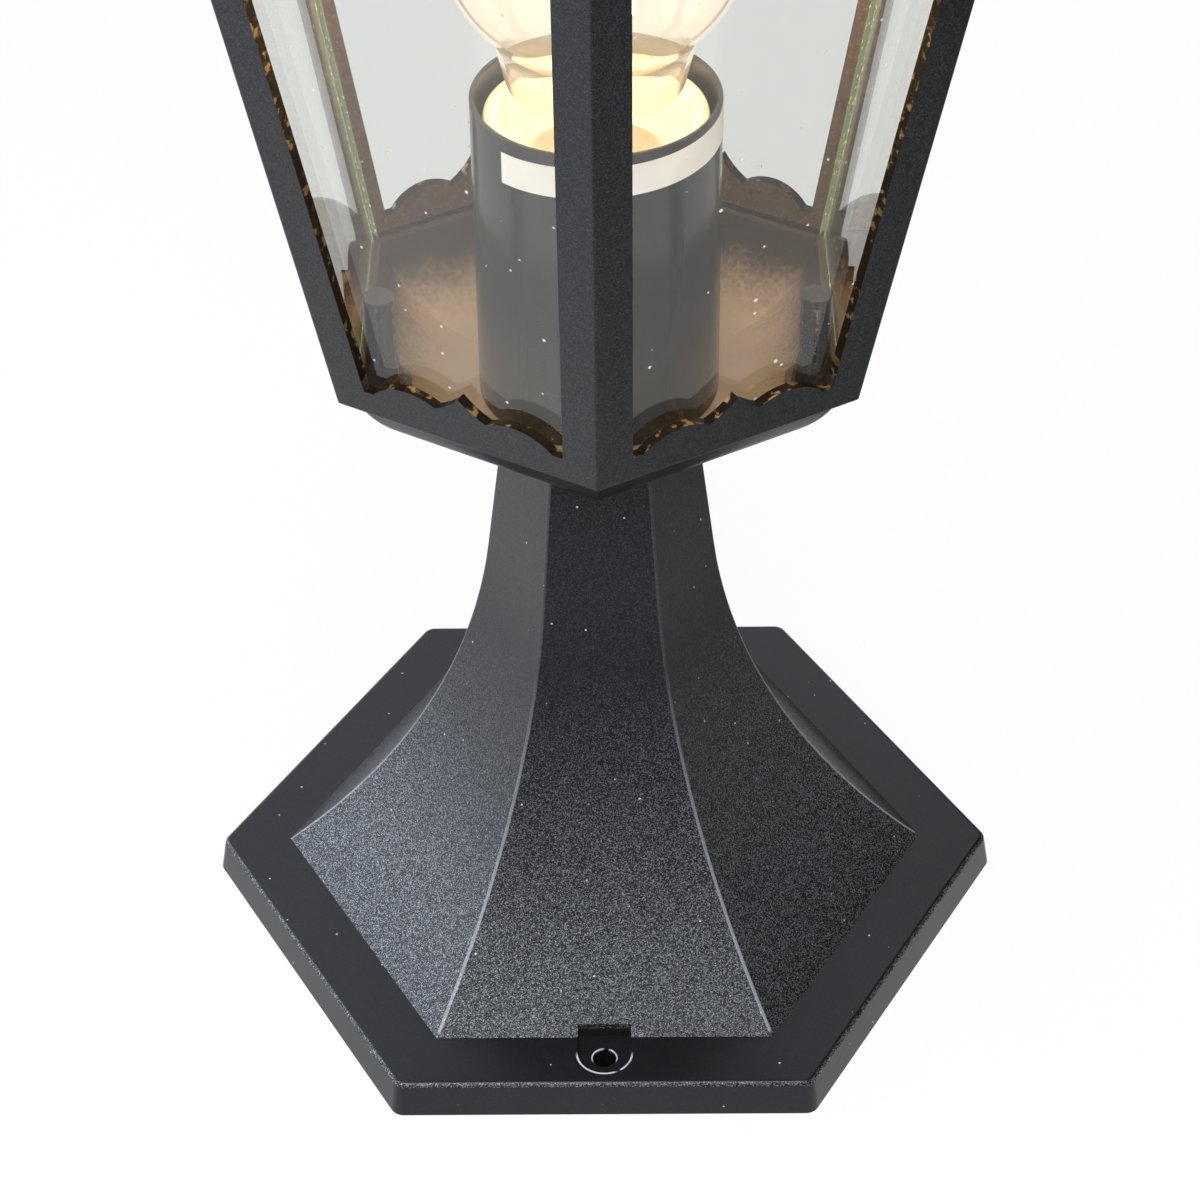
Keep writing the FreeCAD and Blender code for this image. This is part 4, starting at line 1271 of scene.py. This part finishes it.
@dataclass
class Lampholder:
    """Glazed porcelain holder with its rolled screw shell and contacts."""

    base: float = 158.4
    height: float = 38.0
    hole: float = 5.06
    stem: float = 15.0
    outer: float = 20.6
    collar: float = 17.6
    collar_depth: float = 10.0
    well: float = 14.06
    seat: float = 4.6
    step: float = 9.0
    slope: float = 4.5
    foot_rounding: float = 0.8
    step_rounding: float = 1.5
    rim_rounding: float = 1.3
    ledge_rounding: float = 1.2
    rounding_steps: int = 8
    shell: float = 14.0
    shell_wall: float = 0.5
    thread: Thread = Thread(0.35, 3.63)
    rows: int = 90
    segments: int = 112

    def body(self, shape: NodeShape) -> Piece:
        """The porcelain body with a rounded collar.

        Args:
            shape: The tree of a turned piece.

        Returns:
            The body.
        """
        ledge = self.height - self.collar_depth
        outline = eased((
            (self.hole, 0, 0), (self.stem, 0, self.foot_rounding), (self.stem, self.step, self.step_rounding),
            (self.outer, self.step + self.slope, self.step_rounding), (self.outer, self.height, self.rim_rounding),
            (self.collar, self.height, self.rim_rounding), (self.collar, ledge, self.ledge_rounding),
            (self.well, ledge, 0), (self.well, self.seat, 0), (self.hole, self.seat, 0),
        ), self.rounding_steps)
        return turned_piece(shape, "porcelain_holder", outline, self.base, self.segments, PORCELAIN)

    def screw_shell(self, shape: NodeShape) -> Piece:
        """The thin brass shell with its rolled thread.

        Args:
            shape: The tree of a turned piece.

        Returns:
            The shell.
        """
        low, high = self.seat, self.height - self.collar_depth
        heights = even_steps(low, high, self.rows)
        inside = [(self.shell - self.shell_wall, z) for z in heights]
        outside = [(self.shell, z) for z in heights[::-1]]
        return turned_piece(
            shape, "rolled_shell", inside + outside + inside[:1], self.base, self.segments, BRASS,
            **self.thread.sizes(self.base + low, self.base + high),
        )

    def build(self, shape: NodeShape) -> None:
        """Builds the holder and its shell, and dresses its contacts.

        Args:
            shape: The tree of a turned piece.
        """
        fit(self.body(shape), "porcelain", "lampholder")
        fit(self.screw_shell(shape), "contact_brass", "screw_shell")
        for node in ("centre_contact", "shell_terminal"):
            dress(node, BRASS)


@dataclass
class Bulb:
    """Clear bulb, lit: envelope, threaded cap, stem and glowing sticks."""

    base: float = 165.0
    cap_radius: float = 13.2
    cap_wall: float = 0.4
    cap_low: float = 3.6
    cap_height: float = 22.0
    cap_bore: float = 5.0
    thread: Thread = Thread(0.7, 3.63)
    thread_foot: float = 1.0
    thread_head: float = 3.0
    neck: float = 12.74
    root: float = 18.0
    neck_top: float = 23.5
    waist: Point = (17.76, 45.23)
    shoulder: float = 11.3
    shoulder_steps: int = 10
    join: float = 20.5
    ball: float = 28.0
    ball_steps: int = 40
    centre: float = 69.5
    wall: float = 0.9
    rows: int = 72
    segments: int = 128
    lamp_power: float = 0.9
    lamp_height: float = 256.0
    lamp_radius: float = 18.0
    lamp_colour: str = "#ffd8a8"

    def outline(self, inset: float) -> list[Point]:
        """The envelope's outline from its root to its top, set in by a wall.

        Args:
            inset: How far it is set in.

        Returns:
            Points across and up from the bulb's foot.
        """
        drop = math.sqrt(self.ball ** 2 - self.join ** 2)
        share = (self.ball - inset) / self.ball
        ball = self.ball - inset
        waist = (self.waist[0] - inset, self.waist[1])
        join = (self.join * share, self.centre - drop * share)
        points = [(self.neck - inset, self.root), (self.neck - inset, self.neck_top), waist]
        points += arc(waist, join, self.shoulder, -1, self.shoulder_steps)
        first = math.asin(-drop / self.ball)
        for angle in even_steps(first, math.pi / 2, self.ball_steps)[1:]:
            points.append((max(0.0, ball * math.cos(angle)), self.centre + ball * math.sin(angle)))
        return points

    def envelope(self, shape: NodeShape) -> Piece:
        """The envelope, a closed wall of blown glass.

        Args:
            shape: The tree of a turned piece.

        Returns:
            The envelope.
        """
        outside, inside = self.outline(0.0), self.outline(self.wall)
        profile = outside + inside[::-1] + outside[:1]
        return turned_piece(shape, "blown_envelope", profile, self.base, self.segments, BULB_GLASS)

    def cap(self, shape: NodeShape) -> Piece:
        """The cap, with a rolled thread.

        Args:
            shape: The tree of a turned piece.

        Returns:
            The cap.
        """
        low, high, wall = self.cap_low, self.cap_height, self.cap_wall
        heights = even_steps(low + wall, high, self.rows)
        outside = [(self.cap_radius, z) for z in heights]
        inside = [(self.cap_radius - wall, z) for z in heights[::-1]]
        floor = [(self.cap_bore, low + wall), (self.cap_bore, low), (self.cap_radius - wall, low)]
        thread = self.thread.sizes(self.base + low + self.thread_foot, self.base + high - self.thread_head)
        profile = outside + inside + floor + outside[:1]
        return turned_piece(shape, "threaded_cap", profile, self.base, self.segments, CAP_METAL, **thread)

    def glow(self) -> None:
        """Adds the lamp that gives the sticks' light."""
        place = (0.0, 0.0, self.lamp_height * MM)
        light = new_lamp("bulb_glow", "POINT", self.lamp_power, self.lamp_colour, place)
        light.data.shadow_soft_size = self.lamp_radius * MM

    def build(self, shape: NodeShape) -> None:
        """Builds the envelope and cap, and dresses what they hold.

        Args:
            shape: The tree of a turned piece.
        """
        fit(self.envelope(shape), "bulb_glass", "bulb_glass")
        fit(self.cap(shape), "cap_metal", "bulb_cap")
        for node, finish in (
            ("bulb_stem", BULB_GLASS), ("filament_sticks", FILAMENT), ("support_wires", WIRE),
            ("cap_insulator", CAP_GLASS), ("tip_contact", SOLDER), ("basing_cement", CEMENT),
        ):
            dress(node, finish)
        self.glow()


@dataclass
class Roof:
    """Cast roof with its screws and finial."""

    screw_height: float = 288.2
    screw_reach: float = 77.7
    head_radius: float = 3.6
    head_height: float = 2.4
    shank: float = 2.0
    length: float = 9.0
    tip: float = 0.8
    tip_share: float = 0.7
    slot_width: float = 0.9
    slot_depth: float = 1.1
    screws: int = 3
    seed: int = 7
    dome_steps: int = 8
    segments: int = 32

    def screw(self) -> Mesh:
        """One dome-head screw with a slot, along +X from its head's seat.

        Returns:
            The screw's mesh.
        """
        dome = (self.head_radius ** 2 + self.head_height ** 2) / (2 * self.head_height)
        points = [
            (0.0, -self.length), (self.shank * self.tip_share, -self.length), (self.shank, -self.length + self.tip),
            (self.shank, 0.0), (self.head_radius, 0.0),
        ]
        points += arc((self.head_radius, 0.0), (0.0, self.head_height), dome, 1, self.dome_steps)
        work = bmesh.new()
        verts = [work.verts.new((0.0, x * MM, z * MM)) for x, z in points]
        edges = [work.edges.new(pair) for pair in zip(verts, verts[1:])]
        bmesh.ops.spin(
            work, geom=verts + edges, axis=(0, 0, 1), cent=(0, 0, 0), angle=math.tau, steps=self.segments,
            use_duplicate=False,
        )
        bmesh.ops.remove_doubles(work, verts=work.verts, dist=WELD)
        bmesh.ops.recalc_face_normals(work, faces=work.faces)
        body = new_piece("dome_screw", poured("dome_screw", work))
        work = bmesh.new()
        bmesh.ops.create_cube(work, size=1.0, matrix=Matrix.LocRotScale(
            Vector((0, 0, self.head_height * MM)), None,
            Vector((self.slot_width, self.head_radius * 3, self.slot_depth * 2)) * MM,
        ))
        tool = new_piece("slot_tool", poured("slot_tool", work))
        cut = body.modifiers.new("slot", "BOOLEAN")
        cut.operation, cut.object, cut.solver = "DIFFERENCE", tool, "EXACT"
        slotted = applied(body)
        for scrap in (body, tool):
            bpy.data.objects.remove(scrap)
        slotted.transform(Matrix.Rotation(math.pi / 2, 4, "Y"))
        return slotted

    def build(self, ring: NodeShape) -> None:
        """Builds the screws and dresses the roof and finial.

        Args:
            ring: The tree of a ring of pieces.
        """
        for node in ("roof", "finial"):
            dress(node, PowderCoat(CoatZone.ROOF))
        screws = ring.make(
            "slotted_roof_screws", self.screw(), count=self.screws, radius=self.screw_reach * MM,
            height=self.screw_height * MM, spin=math.tau, seed=self.seed, material=ZINC.material(),
        )
        fit(screws, "zinc_steel", "roof_screws")
        dress("finial_nut", ZINC)


@dataclass
class Wiring:
    """Threaded tube with its nuts, and the terminals in the neck."""

    nipple_radius: float = 5.0
    nipple_bore: float = 3.5
    thread: Thread = Thread(0.45, 1.0, 0.5)
    rows_per_turn: int = 6
    segments: int = 48

    def nipple(self, shape: NodeShape) -> Piece:
        """The tube with a thread from end to end.

        Args:
            shape: The tree of a turned piece.

        Returns:
            The tube.
        """
        low, high = (limit[2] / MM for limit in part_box("threaded_nipple"))
        heights = even_steps(low, high, int((high - low) / self.thread.pitch * self.rows_per_turn))
        outside = [(self.nipple_radius, z) for z in heights]
        profile = outside + [(self.nipple_bore, high), (self.nipple_bore, low)] + outside[:1]
        thread = self.thread.sizes(low, high)
        return turned_piece(shape, "threaded_tube", profile, 0.0, self.segments, ZINC, **thread)

    def build(self, shape: NodeShape) -> None:
        """Builds the threaded tube and dresses the rest.

        Args:
            shape: The tree of a turned piece.
        """
        fit(self.nipple(shape), "zinc_steel", "threaded_nipple")
        for node in (
            "lower_washer", "lower_nut", "upper_washer", "upper_nut", "terminal_bracket", "block_screw",
            "earth_screw", "clamp_screws",
        ):
            dress(node, ZINC)
        dress("terminal_block", POLYAMIDE)
        dress("lead_live", BROWN_PVC)
        dress("lead_neutral", BLUE_PVC)


@dataclass(frozen=True)
class Softbox:
    """A large soft lamp."""

    name: str
    place: Place
    aim: Place
    size: float
    power: float
    colour: str = WHITE

    def build(self) -> None:
        """Adds the lamp."""
        light = new_lamp(self.name, "AREA", self.power, self.colour, self.place)
        light.data.shape, light.data.size = "SQUARE", self.size
        light.rotation_euler = (Vector(self.aim) - Vector(self.place)).to_track_quat("-Z", "Y").to_euler()


@dataclass(frozen=True)
class PaleFloor(LabelledFinish):
    """Matt white table top, which looks white to the camera and keeps a soft shadow."""

    label: str = "white_table_top"
    colour: str = "#f2f2f2"
    share: float = 0.95
    # A painted shadow beneath the lamp's base, and how far it reaches
    painted_shadow_colour: str = "#26241f"
    dark_radius: float = 72.0
    dark_fade: float = 4.0
    grain: float = 12.0

    def paint(self, tree: Tree) -> Socket:
        """Adds matt white, mixed with its own white where the background is seen, with a painted dark shadow beneath
        the lamp.

        Args:
            tree: The material's empty tree.

        Returns:
            The socket of the finished shader.
        """
        spot = add_node(tree, "ShaderNodeTexCoord")["Object"]
        grain = add_node(tree, "ShaderNodeTexNoise", {"Vector": spot, "Scale": self.grain})["Fac"]
        shade = add_node(tree, "ShaderNodeMapRange", {"Value": grain, "To Min": 0.97, "To Max": 1.0})["Result"]
        colour = add_node(
            tree, "ShaderNodeMix", {0: 1.0, 6: linear(self.colour), 7: shade}, data_type="RGBA",
            blend_type="MULTIPLY",
        )[2]
        white = add_node(tree, "ShaderNodeEmission", {"Color": linear(WHITE), "Strength": 1.0})["Emission"]
        away = add_node(tree, "ShaderNodeVectorMath", {0: spot}, operation="LENGTH")["Value"]
        # A painted shadow: beneath the base the floor is drawn dark and does not glow, so the bolt holes look black
        clear = between_mm(tree, away, self.dark_radius, self.dark_radius * TALL, self.dark_fade)
        seen = joined(tree, "MULTIPLY", background_rays(tree), clear, self.share)
        colour = add_node(
            tree, "ShaderNodeMix", {0: clear, 6: linear(self.painted_shadow_colour), 7: colour}, data_type="RGBA"
        )[2]
        matt = add_node(tree, "ShaderNodeBsdfDiffuse", {"Color": colour})["BSDF"]
        return add_node(tree, "ShaderNodeMixShader", {0: seen, 1: matt, 2: white})["Shader"]


@dataclass(frozen=True)
class GreyCard(LabelledFinish):
    """Grey board beside or before the lamp: the facets that reflect it look darker than the rest."""

    low_light: float
    high_light: float = 0.02
    fade: float = 0.015

    def paint(self, tree: Tree) -> Socket:
        """Adds an even grey that gets darker with height.

        Args:
            tree: The material's empty tree.

        Returns:
            The socket of the finished shader.
        """
        spot = add_node(tree, "ShaderNodeTexCoord")["Object"]
        height = add_node(tree, "ShaderNodeSeparateXYZ", {"Vector": spot})["Z"]
        light = add_node(tree, "ShaderNodeMapRange", {
            "Value": height, "From Max": self.fade, "To Min": self.low_light, "To Max": self.high_light,
        })["Result"]
        return add_node(tree, "ShaderNodeEmission", {"Color": linear(WHITE), "Strength": light})["Emission"]


@dataclass
class Studio:
    """White table, soft lamps, grey cards on the right and in front, and the camera. Sizes in metres."""

    floor_size: float = 8.0
    fill: float = 0.38
    sensor: float = 36.0
    lens: float = 94.587
    clip: Point = (0.01, 50.0)
    eye: Place = (0.00402, -0.5159, 0.49728)
    ahead: Place = (-0.0066, 0.7750, -0.6320)
    roll: float = 0.677
    card_edge: float = 0.096
    card_place: float = 0.3
    card_lift: float = 0.001
    lamps: tuple[Softbox, ...] = (
        Softbox("left_softbox", (-0.9, 0.3, 0.35), (0.0, 0.0, 0.12), 1.0, 5.4, "#e0ebff"),
        Softbox("top_softbox", (-0.16, -0.3, 1.2), (0.0, 0.0, 0.05), 0.45, 5.0),
        Softbox("face_softbox", (-0.04, -0.9, 0.84), (0.0, 0.0, 0.03), 0.6, 8.5),
        Softbox("rear_softbox", (0.15, 1.2, 1.15), (0.0, 0.0, 0.0), 1.2, 0.6),
    )

    def camera(self) -> None:
        """Adds the camera at the measured place and tilt."""
        data = bpy.data.cameras.new("camera")
        data.sensor_width, data.lens = self.sensor, self.lens
        data.clip_start, data.clip_end = self.clip
        ahead = Vector(self.ahead).normalized()
        right = ahead.cross(Vector((0, 0, 1))).normalized()
        down = ahead.cross(right)
        cos, sin = math.cos(math.radians(self.roll)), math.sin(math.radians(self.roll))
        across, up = right * cos + down * sin, right * sin - down * cos
        turn = Matrix((across, up, -ahead)).transposed().to_4x4()
        camera = new_piece("camera", data)
        camera.matrix_world = Matrix.Translation(self.eye) @ turn
        bpy.context.scene.camera = camera

    def floor(self) -> None:
        """Adds the table top."""
        half = self.floor_size / 2
        corners = [(-half, -half, 0), (half, -half, 0), (half, half, 0), (-half, half, 0)]
        new_piece("table_top", skin("table_top", corners, [(0, 1, 2, 3)], PaleFloor()))

    def card(self, finish: GreyCard, turn: float, span: Point, height: float) -> None:
        """Adds a card that only the reflections see: a mat on the table that bends up into a board.

        Args:
            finish: The card's finish, which names it too.
            turn: The direction from the lamp to the card, in degrees.
            span: The two ends across that direction, in metres.
            height: The board's height, in metres.
        """
        rows = ((self.card_edge, self.card_lift), (self.card_place, self.card_lift), (self.card_place, height))
        points = [(away, side, up) for away, up in rows for side in span]
        mesh = skin(finish.title(), points, [(0, 1, 3, 2), (2, 3, 5, 4)], finish)
        mesh.transform(Matrix.Rotation(math.radians(turn), 4, "Z"))
        board = new_piece(finish.title(), mesh)
        board.visible_camera = board.visible_transmission = False
        board.visible_shadow = board.visible_diffuse = False

    def world(self) -> None:
        """Adds a dim fill light, and white where the background is seen."""
        world = bpy.data.worlds.new("studio")
        world.use_nodes = True
        tree = world.node_tree
        tree.nodes.clear()
        fill, white = (
            add_node(tree, "ShaderNodeBackground", {"Color": linear(WHITE), "Strength": strength})["Background"]
            for strength in (self.fill, 1.0)
        )
        both = add_node(tree, "ShaderNodeMixShader", {0: background_rays(tree), 1: fill, 2: white})["Shader"]
        add_node(tree, "ShaderNodeOutputWorld", {"Surface": both})
        bpy.context.scene.world = world

    def build(self) -> None:
        """Builds the studio."""
        bpy.context.scene.view_settings.view_transform = "Standard"
        self.camera()
        self.floor()
        self.card(GreyCard("right_card", 0.36), 0.0, (-0.6, 0.8), 1.2)
        self.card(GreyCard("front_card", 0.65), -90.0, (-0.095, 0.3), 0.3)
        self.world()
        for lamp in self.lamps:
            lamp.build()


def main() -> None:
    """Builds the studio and the lamp's sub-assemblies in order, and logs each piece."""
    logging.basicConfig(level=logging.INFO, format="%(name)s: %(message)s")
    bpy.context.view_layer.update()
    Studio().build()
    turned, ring = turned_shape(), ring_shape()
    Pedestal().build()
    Lantern().build()
    LampTube().build(turned)
    Lampholder().build(turned)
    Bulb().build(turned)
    Roof().build(ring)
    Wiring().build(turned)


if __name__ == "__main__":
    main()
